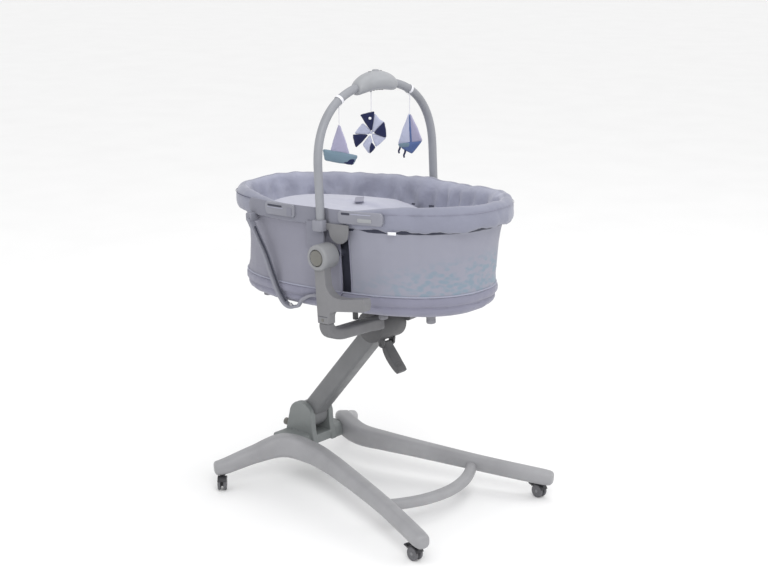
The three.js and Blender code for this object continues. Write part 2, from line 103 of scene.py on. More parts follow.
def ring(r, k):
    a = np.arange(k) * 2 * math.pi / k
    return np.stack([r * np.cos(a), r * np.sin(a)], -1)


def sweep(points, section, up=(0, 0, 1), dome=0.0):
    """Rings of a section carried along points; dome rounds both ends off."""
    P = np.asarray(points, float)
    m = len(P)
    rings = []
    frames = []
    for i in range(m):
        t = P[min(i + 1, m - 1)] - P[max(i - 1, 0)]
        t /= np.linalg.norm(t)
        s = np.cross(t, up)
        s /= np.linalg.norm(s)
        frames.append((t, s, np.cross(s, t)))
    secs = [np.asarray(section(i / (m - 1)), float) for i in range(m)]

    def at(i, scale=1.0, push=0.0):
        t, s, v = frames[i]
        return P[i] + t * push + secs[i][:, :1] * scale * s + secs[i][:, 1:] * scale * v

    if dome:
        for a in (80, 62, 40, 18):
            a = math.radians(a)
            rings.append(at(0, 1 - 0.35 * (1 - math.cos(a)) * 1.6, -dome * math.sin(a)))
    rings += [at(i) for i in range(m)]
    if dome:
        for a in (18, 40, 62, 80):
            a = math.radians(a)
            rings.append(at(m - 1, 1 - 0.35 * (1 - math.cos(a)) * 1.6, dome * math.sin(a)))
    return np.array(rings)


def loft_faces(m, n, loop=False, wrap=True):
    faces = []
    for i in range(m if loop else m - 1):
        a, b = i * n, ((i + 1) % m) * n
        for j in range(n if wrap else n - 1):
            k = (j + 1) % n
            faces.append((a + j, a + k, b + k, b + j))
    return faces


class Part:
    """Vertices and faces collected in millimetres, then made into one object."""

    def __init__(self):
        self.v, self.f = [], []

    def add(self, verts, faces):
        o = len(self.v)
        self.v += [tuple(p) for p in np.asarray(verts, float).reshape(-1, 3)]
        self.f += [tuple(i + o for i in f) for f in faces]
        return self

    def loft(self, rings, loop=False, caps=True):
        m, n = len(rings), len(rings[0])
        f = loft_faces(m, n, loop)
        if caps and not loop:
            f += [tuple(range(n - 1, -1, -1)), tuple((m - 1) * n + j for j in range(n))]
        return self.add(rings, f)

    def prism(self, outline, y0, y1, place=world):
        """Outline in X-Z carried from y0 to y1."""
        o = np.asarray(outline, float)
        n = len(o)
        a = np.stack([o[:, 0], np.full(n, y0), o[:, 1]], -1)
        b = a.copy()
        b[:, 1] = y1
        return self.add(place(np.concatenate([a, b])), [tuple(range(n)), tuple(range(2 * n - 1, n - 1, -1))] + [(j, n + j, n + (j + 1) % n, (j + 1) % n) for j in range(n)])

    def lathe(self, profile, place, k=48, closed=False):
        """profile of (radius, height); place(radius cos, radius sin, height) gives the point."""
        a = np.arange(k) * 2 * math.pi / k
        rings = [np.array([place(r * math.cos(t), r * math.sin(t), h) for t in a]) for r, h in profile]
        return self.loft(rings, loop=closed)


def lin(c):
    c = [x / 255 for x in (c if not isinstance(c, str) else [int(c[i : i + 2], 16) for i in (0, 2, 4)])]
    return [x / 12.92 if x <= 0.04045 else ((x + 0.055) / 1.055) ** 2.4 for x in c]


# ---------------------------------------------------------------- materials
class Tree:
    def __init__(self, name):
        self.m = bpy.data.materials.new(name)
        self.m.use_nodes = True
        self.n, self.l = self.m.node_tree.nodes, self.m.node_tree.links
        self.b = self.n["Principled BSDF"]
        self.co = self.new("ShaderNodeTexCoord").outputs["Object"]

    def new(self, kind, **values):
        node = self.n.new(kind)
        for key, value in values.items():
            setattr(node, key, value)
        return node

    def noise(self, scale, detail=3.0, rough=0.5, stretch=None, distort=0.0):
        t = self.new("ShaderNodeTexNoise")
        t.inputs["Scale"].default_value = scale
        t.inputs["Detail"].default_value = detail
        t.inputs["Roughness"].default_value = rough
        t.inputs["Distortion"].default_value = distort
        co = self.co
        if stretch:
            mp = self.new("ShaderNodeMapping")
            mp.inputs["Scale"].default_value = stretch
            self.l.new(co, mp.inputs["Vector"])
            co = mp.outputs["Vector"]
        self.l.new(co, t.inputs["Vector"])
        return t.outputs["Fac"]

    def span(self, value, lo, hi, a=0.3, b=0.7):
        r = self.new("ShaderNodeMapRange")
        r.inputs["From Min"].default_value, r.inputs["From Max"].default_value = a, b
        r.inputs["To Min"].default_value, r.inputs["To Max"].default_value = lo, hi
        self.l.new(value, r.inputs["Value"])
        return r.outputs["Result"]

    def mix(self, fac, a, b, kind="MIX"):
        x = self.new("ShaderNodeMix", data_type="RGBA", blend_type=kind)
        for key, v in (("Factor", fac), ("A", a), ("B", b)):
            s = [i for i in x.inputs if i.name == key and i.type == ("VALUE" if key == "Factor" else "RGBA")][0]
            if isinstance(v, bpy.types.NodeSocket):
                self.l.new(v, s)
            else:
                s.default_value = v if key == "Factor" else (*v, 1.0)
        return [o for o in x.outputs if o.type == "RGBA"][0]

    def math(self, op, a, b=None, c=None):
        x = self.new("ShaderNodeMath", operation=op)
        for i, v in enumerate((a, b, c)):
            if v is None:
                continue
            if isinstance(v, bpy.types.NodeSocket):
                self.l.new(v, x.inputs[i])
            else:
                x.inputs[i].default_value = v
        return x.outputs[0]

    def bump(self, height, strength, distance, normal=None):
        x = self.new("ShaderNodeBump")
        x.inputs["Strength"].default_value = strength
        x.inputs["Distance"].default_value = distance
        self.l.new(height, x.inputs["Height"])
        if normal is not None:
            self.l.new(normal, x.inputs["Normal"])
        return x.outputs["Normal"]


def plastic(name, rgb, rough=0.45, grain=0.25, spec=0.5, scale=1.0, dust=0.06):
    t = Tree(name)
    c = lin(rgb)
    dark, light = [x * 0.88 for x in c], [min(1, x * 1.08) for x in c]
    base = t.mix(t.span(t.noise(9 * scale, 4), 0, 1), dark, light)
    base = t.mix(t.span(t.noise(70 * scale, 5, 0.6), 0, dust, 0.45, 0.8), base, [min(1, x * 1.5 + 0.03) for x in c])
    t.l.new(base, t.b.inputs["Base Color"])
    t.l.new(t.span(t.noise(34 * scale, 4, 0.6), rough - 0.07, rough + 0.09), t.b.inputs["Roughness"])
    fine = t.bump(t.noise(1500 * scale, 2), grain, 0.00012)
    t.l.new(t.bump(t.noise(14, 2), 0.05, 0.002, fine), t.b.inputs["Normal"])
    t.b.inputs["Specular IOR Level"].default_value = spec
    return t.m


def metal(name, rgb, rough=0.3):
    t = Tree(name)
    c = lin(rgb)
    t.l.new(t.mix(t.span(t.noise(300, 3, stretch=(1, 0.05, 1)), 0, 1), [x * 0.85 for x in c], c), t.b.inputs["Base Color"])
    t.l.new(t.span(t.noise(900, 2, stretch=(1, 0.03, 1)), rough - 0.08, rough + 0.1), t.b.inputs["Roughness"])
    t.b.inputs["Metallic"].default_value = 1.0
    return t.m


def rubber(name, rgb, rough=0.6):
    t = Tree(name)
    c = lin(rgb)
    t.l.new(t.mix(t.span(t.noise(160, 5, 0.7), 0, 1), [x * 0.75 for x in c], [x * 1.15 for x in c]), t.b.inputs["Base Color"])
    t.l.new(t.span(t.noise(220, 3), rough - 0.1, rough + 0.15), t.b.inputs["Roughness"])
    t.l.new(t.bump(t.noise(1200, 2), 0.3, 0.0002), t.b.inputs["Normal"])
    return t.m


def cloth(name, rgb, thread=0.0011, weave=0.55, mottle=0.10, sheen=0.25, rough=0.9, wrinkle=0.35, pattern=None, wscale=(18, 18, 7)):
    """Plain weave: two sets of threads, broad colour variation, soft creases; pattern adds a printed motif."""
    t = Tree(name)
    c = lin(rgb)
    f = 1.0 / thread
    sep = t.new("ShaderNodeSeparateXYZ")
    t.l.new(t.co, sep.inputs[0])
    along = t.math("ADD", sep.outputs["X"], t.math("MULTIPLY", sep.outputs["Y"], 0.83))
    warp = t.math("SINE", t.math("MULTIPLY", along, f * 3.14159))
    weft = t.math("SINE", t.math("MULTIPLY", t.math("ADD", sep.outputs["Z"], t.math("MULTIPLY", sep.outputs["Y"], 0.21)), f * 3.14159))
    over = t.math("MULTIPLY", warp, weft)
    threads = t.math("ADD", t.math("ABSOLUTE", warp), t.math("ABSOLUTE", weft))
    height = t.math("ADD", t.math("MULTIPLY", threads, 0.5), t.math("MULTIPLY", over, 0.5))
    base = t.mix(t.span(height, 0, 1, -0.4, 1.4), [x * 0.86 for x in c], [min(1, x * 1.07) for x in c])
    base = t.mix(t.span(t.noise(11, 5, 0.55), 0, 1), base, [x * (1 - mottle) for x in c])
    if pattern:
        base = pattern(t, sep, base, c)
    t.l.new(base, t.b.inputs["Base Color"])
    fine = t.bump(height, weave, 0.00025)
    soft = t.bump(t.noise(1, 4, 0.5, stretch=wscale, distort=0.6), wrinkle, 0.006, fine)
    t.l.new(soft, t.b.inputs["Normal"])
    t.l.new(t.span(t.noise(60, 3), rough - 0.08, min(1, rough + 0.06)), t.b.inputs["Roughness"])
    t.b.inputs["Sheen Weight"].default_value = sheen
    t.b.inputs["Sheen Roughness"].default_value = 0.45
    t.b.inputs["Specular IOR Level"].default_value = 0.25
    return t.m


def dabs(t, sep, base, c):
    """A generic scatter of soft leaf-like dabs, low on the foot end of the side."""
    v = t.new("ShaderNodeTexVoronoi", feature="SMOOTH_F1")
    v.inputs["Scale"].default_value = 1.0
    mp = t.new("ShaderNodeMapping")
    mp.inputs["Scale"].default_value = (55, 55, 95)
    mp.inputs["Rotation"].default_value = (0.2, 0.5, 0.1)
    t.l.new(t.co, mp.inputs["Vector"])
    t.l.new(mp.outputs["Vector"], v.inputs["Vector"])
    mask = t.span(v.outputs["Distance"], 1, 0, 0.32, 0.55)
    mask = t.math("MULTIPLY", mask, t.span(t.noise(20, 3, 0.6), 0, 1, 0.36, 0.5))
    top = t.math("ADD", 0.69, t.math("MULTIPLY", sep.outputs["X"], 0.24))
    low = t.new("ShaderNodeMapRange", interpolation_type="SMOOTHSTEP")
    low.inputs["From Min"].default_value, low.inputs["From Max"].default_value = -0.03, 0.035
    t.l.new(t.math("SUBTRACT", top, sep.outputs["Z"]), low.inputs["Value"])
    side = t.span(sep.outputs["X"], 0.25, 1, 0.17, 0.34)
    fac = t.math("MULTIPLY", t.math("MULTIPLY", mask, low.outputs["Result"]), t.math("MULTIPLY", side, 0.8))
    teal = lin((124, 142, 156))
    return t.mix(fac, base, teal)


M = {
    "leg_grey": plastic("paint_light_grey", (152, 152, 155), 0.42, 0.12),
    "hub_grey": plastic("mould_grey_green", (124, 128, 128), 0.48, 0.3),
    "column_grey": plastic("paint_mid_grey", (111, 112, 114), 0.42, 0.12),
    # charcoal grey, partly the part's own dark colour and partly painted shadow under the basket
    "hub_dark": plastic("mould_charcoal_and_painted_shade", (82, 82, 84), 0.5, 0.4),
    "knob_grey": plastic("mould_knob", (134, 135, 138), 0.46, 0.25),
    # bracket and yoke greys: the knob's grey plastic set darker as painted shade under the basket
    "bracket_grey": plastic("mould_grey", (119, 119, 122), 0.46, 0.25),
    "yoke_grey_painted_shade": plastic("mould_yoke_painted_shade", (108, 108, 111), 0.46, 0.25),
    "tray_grey": plastic("mould_tray", (124, 124, 130), 0.5, 0.3),
    "button_dark": plastic("mould_taupe", (106, 105, 100), 0.42, 0.3),
    "caster_black": plastic("mould_black", (46, 46, 50), 0.5, 0.35),
    "wheel_grey": rubber("tread_grey", (96, 96, 100), 0.55),
    "wheel_cap": plastic("cap_grey", (128, 128, 131), 0.4, 0.2),
    "pin_steel": metal("steel", (190, 190, 193), 0.32),
    "tube_aluminium": metal("tube", (185, 186, 190), 0.35),
    "board": plastic("board_black", (66, 68, 82), 0.6, 0.4),
    "arch_tube": plastic("arch_tube_satin", (140, 142, 148), 0.4, 0.12),
    "arch_grey": plastic("arch_satin", (152, 154, 158), 0.4, 0.12),
    "wall_fabric": cloth("wall_cloth", (140, 140, 153), 0.0010, 0.45, 0.07, 0.18, 0.88, 0.12),
    "wall_print": cloth("wall_cloth_print", (148, 149, 162), 0.0010, 0.45, 0.07, 0.18, 0.88, 0.12, pattern=dabs),
    "roll_fabric": cloth("roll_cloth", (136, 136, 153), 0.0011, 0.5, 0.12, 0.3, 0.9, 0.35),
    "rim_fabric": cloth("rim_cloth", (139, 141, 157), 0.0011, 0.5, 0.12, 0.35, 0.88, 0.45),
    "rail_fabric": cloth("rail_cloth", (128, 129, 141), 0.0009, 0.35, 0.08, 0.25, 0.75, 0.12),
    "mattress_fabric": cloth("mattress_cloth", (181, 182, 196), 0.0012, 0.5, 0.06, 0.3, 0.92, 0.3, wscale=(9, 9, 9)),
    "seam": cloth("seam_thread", (92, 93, 112), 0.0007, 0.5, 0.1, 0.1, 0.95, 0.0),
    "piping": cloth("piping_cloth", (158, 160, 177), 0.0008, 0.5, 0.06, 0.3, 0.85, 0.0),
    "ribbon": cloth("ribbon_satin", (226, 226, 232), 0.0004, 0.4, 0.05, 0.5, 0.5, 0.1),
    "label": cloth("blank_tag", (236, 237, 242), 0.0005, 0.3, 0.03, 0.2, 0.7, 0.0),
    "toy_lilac": cloth("felt_lilac", (168, 166, 192), 0.0007, 0.6, 0.14, 0.5, 0.95, 0.5),
    "toy_pale": cloth("felt_pale", (190, 194, 216), 0.0007, 0.6, 0.12, 0.5, 0.95, 0.5),
    "toy_teal": cloth("felt_teal", (118, 140, 156), 0.0007, 0.6, 0.14, 0.5, 0.95, 0.5),
    "toy_blue": cloth("felt_blue", (88, 108, 156), 0.0007, 0.6, 0.14, 0.5, 0.95, 0.5),
    "toy_navy": cloth("felt_navy", (34, 40, 78), 0.0007, 0.6, 0.16, 0.5, 0.95, 0.5),
    # dark grey for the real parting seams, and for slots and strips where it paints shade
    "slot": plastic("slot_dark_joint_and_painted_shade", (50, 52, 66), 0.6, 0.3),
    "grip_grey": plastic("grip_lilac_grey", (133, 134, 144), 0.5, 0.25),
    # lighter copy of the rim cloth for faces turned inward: painted light on the inner wall, and its strong mottle
    # paints fold shade
    "lining_fabric_painted_light": cloth("lining_cloth_painted_light", (164, 166, 183), 0.0011, 0.5, 0.3, 0.35, 0.88, 1.1, wscale=(16, 16, 16)),
    # dark cloth for the strip under the hem: painted shadow
    "shade_band": cloth("hem_shade", (58, 60, 74), 0.0009, 0.4, 0.1, 0.1, 0.95, 0.2),
}


# ---------------------------------------------------------------- object makers
def make(name, part, mat, body, replaces=(), bevel=0.0, seg=3, angle=35, subdiv=0, smooth=40, merge=0.02):
    me = bpy.data.meshes.new(name)
    me.from_pydata([tuple(x / 1000 for x in v) for v in part.v], [], part.f)
    bm = bmesh.new()
    bm.from_mesh(me)
    if merge:
        bmesh.ops.remove_doubles(bm, verts=bm.verts, dist=merge / 1000)
    bmesh.ops.recalc_face_normals(bm, faces=bm.faces)
    bm.to_mesh(me)
    bm.free()
    me.update()
    ob = bpy.data.objects.new(name, me)
    scene.collection.objects.link(ob)
    me.materials.append(M[mat])
    shade(ob, smooth)
    if bevel:
        b = ob.modifiers.new("round", "BEVEL")
        b.width, b.segments, b.limit_method, b.angle_limit = bevel / 1000, seg, "ANGLE", math.radians(angle)
        b.harden_normals = False
    if subdiv:
        s = ob.modifiers.new("smooth", "SUBSURF")
        s.levels = s.render_levels = subdiv
    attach(ob, body)
    if replaces:
        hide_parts(*replaces)
    return ob


def shade(ob, angle):
    me = ob.data
    me.polygons.foreach_set("use_smooth", [True] * len(me.polygons))
    if angle:
        me.set_sharp_from_angle(angle=math.radians(angle))
    me.update()


def fillet(points, r, seg=6):
    """Outline with its corners rounded; r is one radius or one for each point."""
    P = np.asarray(points, float)
    n = len(P)
    rs = [r] * n if not hasattr(r, "__len__") else list(r)
    out = []
    for i in range(n):
        a, b, c = P[i - 1], P[i], P[(i + 1) % n]
        u, v = a - b, c - b
        lu, lv = np.linalg.norm(u), np.linalg.norm(v)
        u, v = u / lu, v / lv
        half = math.acos(max(-1, min(1, float(u @ v)))) / 2
        if rs[i] <= 0 or half > math.radians(88):
            out.append(b)
            continue
        t = min(rs[i] / math.tan(half), lu * 0.48, lv * 0.48)
        for j in range(seg + 1):
            w = j / seg
            out.append((1 - w) ** 2 * (b + u * t) + 2 * w * (1 - w) * b + w * w * (b + v * t))
    return np.array(out)


def arc(cx, cz, r, a0, a1, k):
    a = np.radians(a0 + (a1 - a0) * np.arange(k + 1) / k)
    return [(cx + r * math.cos(x), cz + r * math.sin(x)) for x in a]


def keep(node, mat, bevel=0.0, angle=40, seg=2):
    """A CAD node that stays: welded, smooth by angle, a small edge radius and its own material."""
    ob = NODES[node]
    me = ob.data
    for name in ("custom_normal", "sharp_edge"):
        if name in me.attributes:
            me.attributes.remove(me.attributes[name])
    me.materials.clear()
    me.materials.append(M[mat])
    me.polygons.foreach_set("use_smooth", [True] * len(me.polygons))
    w = ob.modifiers.new("weld", "WELD")
    w.merge_threshold = 0.00002
    if bevel:
        b = ob.modifiers.new("edge", "BEVEL")
        b.width, b.segments, b.limit_method, b.angle_limit = bevel / 1000, seg, "ANGLE", math.radians(angle)
        b.use_clamp_overlap = True
    e = ob.modifiers.new("crease", "EDGE_SPLIT")
    e.split_angle = math.radians(angle)
    return ob


# ---------------------------------------------------------------- camera
cam = bpy.data.objects.new("camera", bpy.data.cameras.new("camera"))
scene.collection.objects.link(cam)
cam.data.lens, cam.data.sensor_width = 70.92, 36.0
cam.location = (2.8201, -3.154, 1.782)
cam.rotation_mode = "QUATERNION"
cam.rotation_quaternion = (Vector((0.0555, 0, 0.6375)) - cam.location).to_track_quat("-Z", "Y")
cam.data.clip_start, cam.data.clip_end = 0.05, 60
scene.camera = cam

# ---------------------------------------------------------------- toy ribbons (free cords)
HANG = [("boat", -149, 1172, 58), ("pinwheel", -16, 1196, 64), ("sailboat", 149, 1172, 58)]
TOYTOP = {}
for tag, y, ztop, length in HANG:
    top = seat([0, y, ztop])
    TOYTOP[tag] = top + np.array([0, 0, -length - 0.4])
    cu = bpy.data.curves.new(f"{tag}_ribbon", "CURVE")
    cu.dimensions = "3D"
    sp = cu.splines.new("POLY")
    n = 16
    sp.points.add(n - 1)
    for i in range(n):
        z = -0.5 - (length - 0.5) * i / (n - 1)
        p = (top + np.array([0, 0, z])) / 1000
        sp.points[i].co = (*p, 1)
    cu.bevel_depth, cu.bevel_resolution = 0.0013, 2
    cu.use_fill_caps = True
    cu.materials.append(M["ribbon"])
    ob = bpy.data.objects.new(f"{tag}_ribbon", cu)
    scene.collection.objects.link(ob)
    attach(ob, tag)
    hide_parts(f"{tag}_string")

# ---------------------------------------------------------------- base
LEG = [
    (-396, 306, 65, 38, 40), (-383, 286, 67, 44, 44), (-330, 203, 97, 48, 52), (-272, 134, 121, 52, 68), (-180, 107, 111, 54, 60),
    (-90, 124, 106, 52, 54), (0, 150, 100, 50, 49), (200, 214, 84, 47, 44), (383, 285, 67, 45, 44), (413, 297, 65, 40, 40),
]
for side, tag in ((-1, "right"), (1, "left")):
    K = 72
    pts = catmull([(x, side * y, z) for x, y, z, _, _ in LEG], K)
    dims = catmull([(a, b, 0) for *_, a, b in LEG], K)

    def section(t, dims=dims, K=K):
        i = round(t * K)
        e = min(i, K - i) / 3.0
        s = 1.0 if e >= 1 else 0.72 + 0.28 * math.sqrt(max(0, 1 - (1 - e) ** 2))
        return rrect(dims[i][0] * s, dims[i][1] * s, 16 * s, 7)

    make(f"leg_{tag}", Part().loft(world(sweep(pts, section))), "leg_grey", "base", [f"base_leg_{tag}"], bevel=2.2, angle=50)
bar = catmull([(172, -212, 77), (203, -172, 76), (240, -92, 75), (255, 0, 75), (240, 92, 75), (203, 172, 76), (172, 212, 77)], 56)
make("front_cross_bar", Part().loft(world(sweep(bar, lambda t: rrect(32, 30, 12, 7)))), "leg_grey", "base", ["cross_bar"])

px, pz = LOW
h = Part()
cheek = fillet([(-352, 104), (-346, 140)] + arc(px, pz, 47, 172, -4, 28) + [(-236, 150), (-226, 104)], [4, 14] + [0] * 29 + [16, 4])
for a, b in ((-49, -29.6), (29.6, 49)):
    h.prism(cheek, a, b)
h.prism(fillet([(-340, 106), (-340, 134), (-232, 134), (-232, 106)], 4), -34, 34)
for a, b in ((-106, -44), (44, 106)):
    h.prism(fillet([(-350, 98), (-346, 138), (-246, 138), (-230, 98)], 12), a, b)
make("hub_body", h, "hub_grey", "base", ["hub_housing"], bevel=5, seg=4)
h = Part().lathe([(0, -359), (9.5, -359), (11, -357.5), (11, -346), (9.6, -345), (9.6, -330), (0, -330)], lambda a, b, x: world([x, -39 + a, 152 + b]), 32)
make("hub_release_button", h, "button_dark", "hub_button", ["hub_button"])
for n in ("lower_pivot_pin", "upper_pivot_pin"):
    keep(n, "pin_steel", 0.3)

# ---------------------------------------------------------------- column
dx, dz = TOP[0] - LOW[0], TOP[1] - LOW[1]
L, ANG = math.hypot(dx, dz), math.atan2(dz, dx)


def col(p):
    p = np.asarray(p, float)
    x, z = p[..., 0], p[..., 2]
    return np.stack([LOW[0] + x * math.cos(ANG) - z * math.sin(ANG) + XS, p[..., 1], LOW[1] + x * math.sin(ANG) + z * math.cos(ANG)], -1)


c = Part()
c.loft(np.array([[col([x, u * s, v * s]) for u, v in rrect(58, 56, 9, 6)] for x, s in ((36, 1), (60, 1), (L / 2, 1), (L - 58, 1), (L - 38, 1))]))
for x0, r in ((0, 42), (L, 40)):
    c.lathe([(0, -29), (r - 2.5, -29), (r, -26.5), (r, 26.5), (r - 2.5, 29), (0, 29)], lambda a, b, y, x0=x0: col([x0 + a, y, b]), 56)
make("column_cover", c, "column_grey", "column", ["column_shell"], bevel=1.2)
keep("levelling_link", "pin_steel", 0.3)
# raised trim strip along the upper face, as a cover for the channel
c = Part().loft(np.array([[col([x, u, 28.0 + v]) for u, v in rrect(w, 2.4, 1.1, 4)] for x, w in ((64, 17), (70, 22), (L - 72, 22), (L - 64, 17))]))
make("column_trim", c, "column_grey", "column", bevel=0.4)

# ---------------------------------------------------------------- carriage
keep("top_hub", "hub_dark", 1.6, 42)
path = catmull([(20, 0, 477), (30, 0, 455), (54, 0, 424), (80, 0, 398)], 24)
h = Part().loft(world(sweep(path, lambda t: rrect(35 + 7 * min(1, max(0, t * 3 - 0.6)) * (1 if t < 0.95 else 0.6), 12 + 9 * math.sin(math.pi * min(1, t * 0.8 + 0.15)), 5, 6))))
h.lathe([(0, -17.5), (6, -17.5), (7, -16.5), (7, 16.5), (6, 17.5), (0, 17.5)], lambda a, b, y: world([22 + a, y, 473 + b]), 28)
h.lathe([(0, -25.5), (2.9, -25.5), (2.9, 25.5), (0, 25.5)], lambda a, b, y: world([22 + a, y, 473 + b]), 16)
make("release_lever", h, "hub_dark", "lever", ["height_lever"], bevel=1.5)
# grip ribs on the lever
h = Part()
for i in range(5):
    q = path[12 + 2 * i]
    nrm = np.array([0.72, 0, 0.69])
    p = q + nrm * 9.2
    h.loft(world(np.array([[p + np.array([0, y, 0]) + u * np.array([-0.69, 0, 0.72]) + v * nrm for u, v in rrect(2.6, 1.8, 0.8, 4)] for y in (-13, 13)])))
make("lever_ribs", h, "hub_dark", "lever", bevel=0.3)

for side, tag in ((-1, "right"), (1, "left")):
    yy = lambda a, b, side=side: (-b, -a) if side < 0 else (a, b)
    path = catmull([(27, side * 56, 550), (27, side * 72, 550), (34, side * 120, 556), (38, side * 190, 559), (38, side * 240, 562), (36, side * 266, 572), (35, side * 275, 587), (35, side * 275.5, 597)], 48)
    arm = sweep(path, lambda t: rrect(36 - 4 * t if t < 0.75 else 28 + (1 - t) * 20, 46 - 8 * t, 9, 7), (1, 0, 0))
    make(f"yoke_{tag}", Part().loft(seat(arm)), "yoke_grey_painted_shade", "carriage", [f"yoke_arm_{tag}"], bevel=1.2)
    keep(f"support_strut_{tag}", "hub_dark", 1.2)
    kx, kz = KNOB
    b = Part()
    out = fillet([(15, 597.6), (55, 597.6), (56, 622), (66, 634), (84, 638), (186, 650), (191, 668), (188, 686), (110, 675), (78, 677), (60, 688), (50, 706), (48, 753), (12, 753), (13, 690)],
                 [3, 3, 20, 20, 20, 5, 10, 5, 30, 26, 26, 26, 2, 2, 40])
    b.prism(out, *yy(262, 290), place=seat)
    make(f"bracket_{tag}", b, "bracket_grey", "carriage", [f"side_bracket_{tag}"], bevel=5, seg=4, angle=50)
    b = Part().lathe([(13.2, 242.5), (30, 242.5), (34.5, 244.3), (36, 248.5), (36, 290), (35, 295), (32, 298.8), (27.5, 300), (24.6, 299.6), (23.4, 298), (23.2, 288), (0, 288)],
                     lambda u, v, y, side=side: seat([kx + u, side * y, kz + v]), 72)
    make(f"knob_housing_{tag}", b, "knob_grey", "carriage", bevel=0.5, angle=50)
    b = Part().lathe([(0, 302), (14, 301.9), (19.5, 301), (21.6, 299), (22, 296.5), (22, 291.5), (0, 291.5)], lambda u, v, y, side=side: seat([kx + u, side * y, kz + v]), 56)
    make(f"knob_cap_{tag}", b, "button_dark", f"knob_button_{tag}", [f"knob_button_{tag}"])
    # parting lines where the bracket meets the yoke, and the screw plug below the foot arm
    b = Part().loft(seat(np.array([[[35 + u, side * 276 + v, z] for u, v in rrect(41.2, 29.2, 5, 6)] for z in (617.4, 618.6)])))
    make(f"bracket_seam_{tag}", b, "slot", "carriage")
    b = Part().lathe([(0, 291.2), (3.6, 291.2), (4.2, 290.4), (4.2, 289), (0, 289)], lambda u, v, y, side=side: seat([34 + u, side * y, 608 + v]), 24)
    make(f"bracket_plug_{tag}", b, "button_dark", "carriage")


# ---------------------------------------------------------------- rim shape
def ov(level, t):
    d, z, e, sx = (tuple(level) + (0, 0))[:4]
    c, s, q = np.cos(t), np.sin(t), 2 / RN
    return np.stack([CX + sx + (RA + d + e) * np.sign(c) * np.abs(c) ** q, (RB + d) * np.sign(s) * np.abs(s) ** q, np.full_like(c, float(z))], -1)


def ov_y(x, d):
    return (RB + d) * max(0, 1 - abs((x - CX) / (RA + d)) ** RN) ** (1 / RN)


def t_at(level, x):
    d, z, e, sx = (tuple(level) + (0, 0))[:4]
    u = (x - CX - sx) / (RA + d + e)
    return math.acos(math.copysign(min(1, abs(u)) ** (RN / 2), u))


def even_t(k, a=0.0, b=2 * math.pi, level=(0, 900, 0, 0)):
    """Angles from a to b, evenly spaced along the rim."""
    t = np.linspace(a, b, 4000)
    p = ov(level, t)
    s = np.concatenate([[0], np.cumsum(np.linalg.norm(np.diff(p, axis=0), axis=1))])
    return np.interp(np.linspace(0, s[-1], k), s, t)


def fbm(p, octaves=3, seed=0.0):
    v = Vector((float(p[0]) + seed, float(p[1]) - seed * 0.7, float(p[2]) + seed * 0.3))
    return noise.fractal(v, 0.9, 2.1, octaves, noise_basis="PERLIN_ORIGINAL")


# ---------------------------------------------------------------- basket: tray and feet
FEET = [(-366, 105, 626), (122, 140, 614.5), (264, 105, 626)]
T96 = even_t(121)[:-1]
levels = [(-80, 612.6, -38, -18), (-66, 612.5, -38, -18), (-59, 614.5, -38, -18.5), (-50, 619, -38, -19), (-42, 627, -37, -20), (-34, 637, -35, -22), (-31, 650, -35, -21), (-33.5, 650.5, -35, -21), (-37, 638, -35, -22), (-52, 623, -38, -19), (-80, 617, -38, -18)]
p = Part()
rings = np.array([seat(ov(l, T96)) for l in levels])
p.loft(rings, caps=False)
p.f.append(tuple(range(119, -1, -1)))
p.f.append(tuple(10 * 120 + j for j in range(120)))
for fx, fy, ftop in FEET:
    for s in (-1, 1):
        p.lathe([(0, 591), (10, 591), (12.2, 592), (13, 594.5), (13, 603), (12.4, 603.6), (12.4, 604.6), (13, 605.2), (13, ftop), (0, ftop)], lambda a, b, z, fx=fx, fy=fy, s=s: seat([fx + a, s * fy + b, z]), 28)
make("floor_tray", p, "tray_grey", "basket", ["base_tray"], smooth=45)


# ---------------------------------------------------------------- basket: fabric sides
def panel(name, a, b, levels_, mat, body="basket", replaces=(), k=150, thick=2.2, bulge=None, seed=0.0, fold=0.0):
    """Stretched cloth between x limits a and b of the rim shape, one layer with a real thickness."""
    rows = []
    heights = np.array([l[1] for l in levels_])
    zz = np.linspace(heights[0], heights[-1], 46)
    L4 = np.array([(tuple(l) + (0, 0))[:4] for l in levels_])
    for z in zz:
        i = [np.interp(z, heights[::-1], L4[::-1, c]) for c in range(4)]
        lv = (i[0], z, i[2], i[3])
        if b is None:  # head half: round the -X end
            t0 = t_at(lv, a)
            t = even_t(k, t0, 2 * math.pi - t0, lv)
        else:
            t0 = t_at(lv, b)
            t = even_t(k, -t0, t0, lv)
        q = ov(lv, t)
        c = ov((lv[0] + 1, z, lv[2], lv[3]), t) - q
        nrm = c / np.linalg.norm(c, axis=1)[:, None]
        u = np.linspace(0, 1, k)
        w = (z - heights[-1]) / (heights[0] - heights[-1])
        off = np.zeros(k)
        if bulge:
            off += bulge(u, w)
        if fold:
            off += np.array([fold * fbm((x[0] / 95, x[1] / 95, z / 260), 3, seed) for x in q]) * math.sin(math.pi * min(1, max(0, w)))
            off += np.array([0.45 * fold * fbm((x[0] / 30, x[1] / 30, z / 120), 2, seed + 9) for x in q])
        rows.append(seat(q + nrm * off[:, None]))
    rows = np.array(rows)
    m, n = rows.shape[:2]
    pt = Part().add(rows, loft_faces(m, n, wrap=False))
    ob = make(name, pt, mat, "basket", replaces, smooth=0)
    so = ob.modifiers.new("cloth", "SOLIDIFY")
    so.thickness, so.offset = thick / 1000, -1
    return ob, rows


WALL = [(-10, 862, -14), (-14, 842, -27), (-14, 824, -33), (-16, 790, -36, -3), (-16, 760, -38, -6), (-17, 700, -38, -13), (-15, 676, -36.5, -17), (-15, 664, -36, -19)]
panel("cloth_side_head", 40, None, WALL, "wall_fabric", replaces=["fabric_side_head"], seed=3.1, fold=2.6, k=170)
panel("cloth_side_foot", None, 76, WALL, "wall_print", replaces=["fabric_side_foot"], seed=7.7, fold=1.6, k=130)


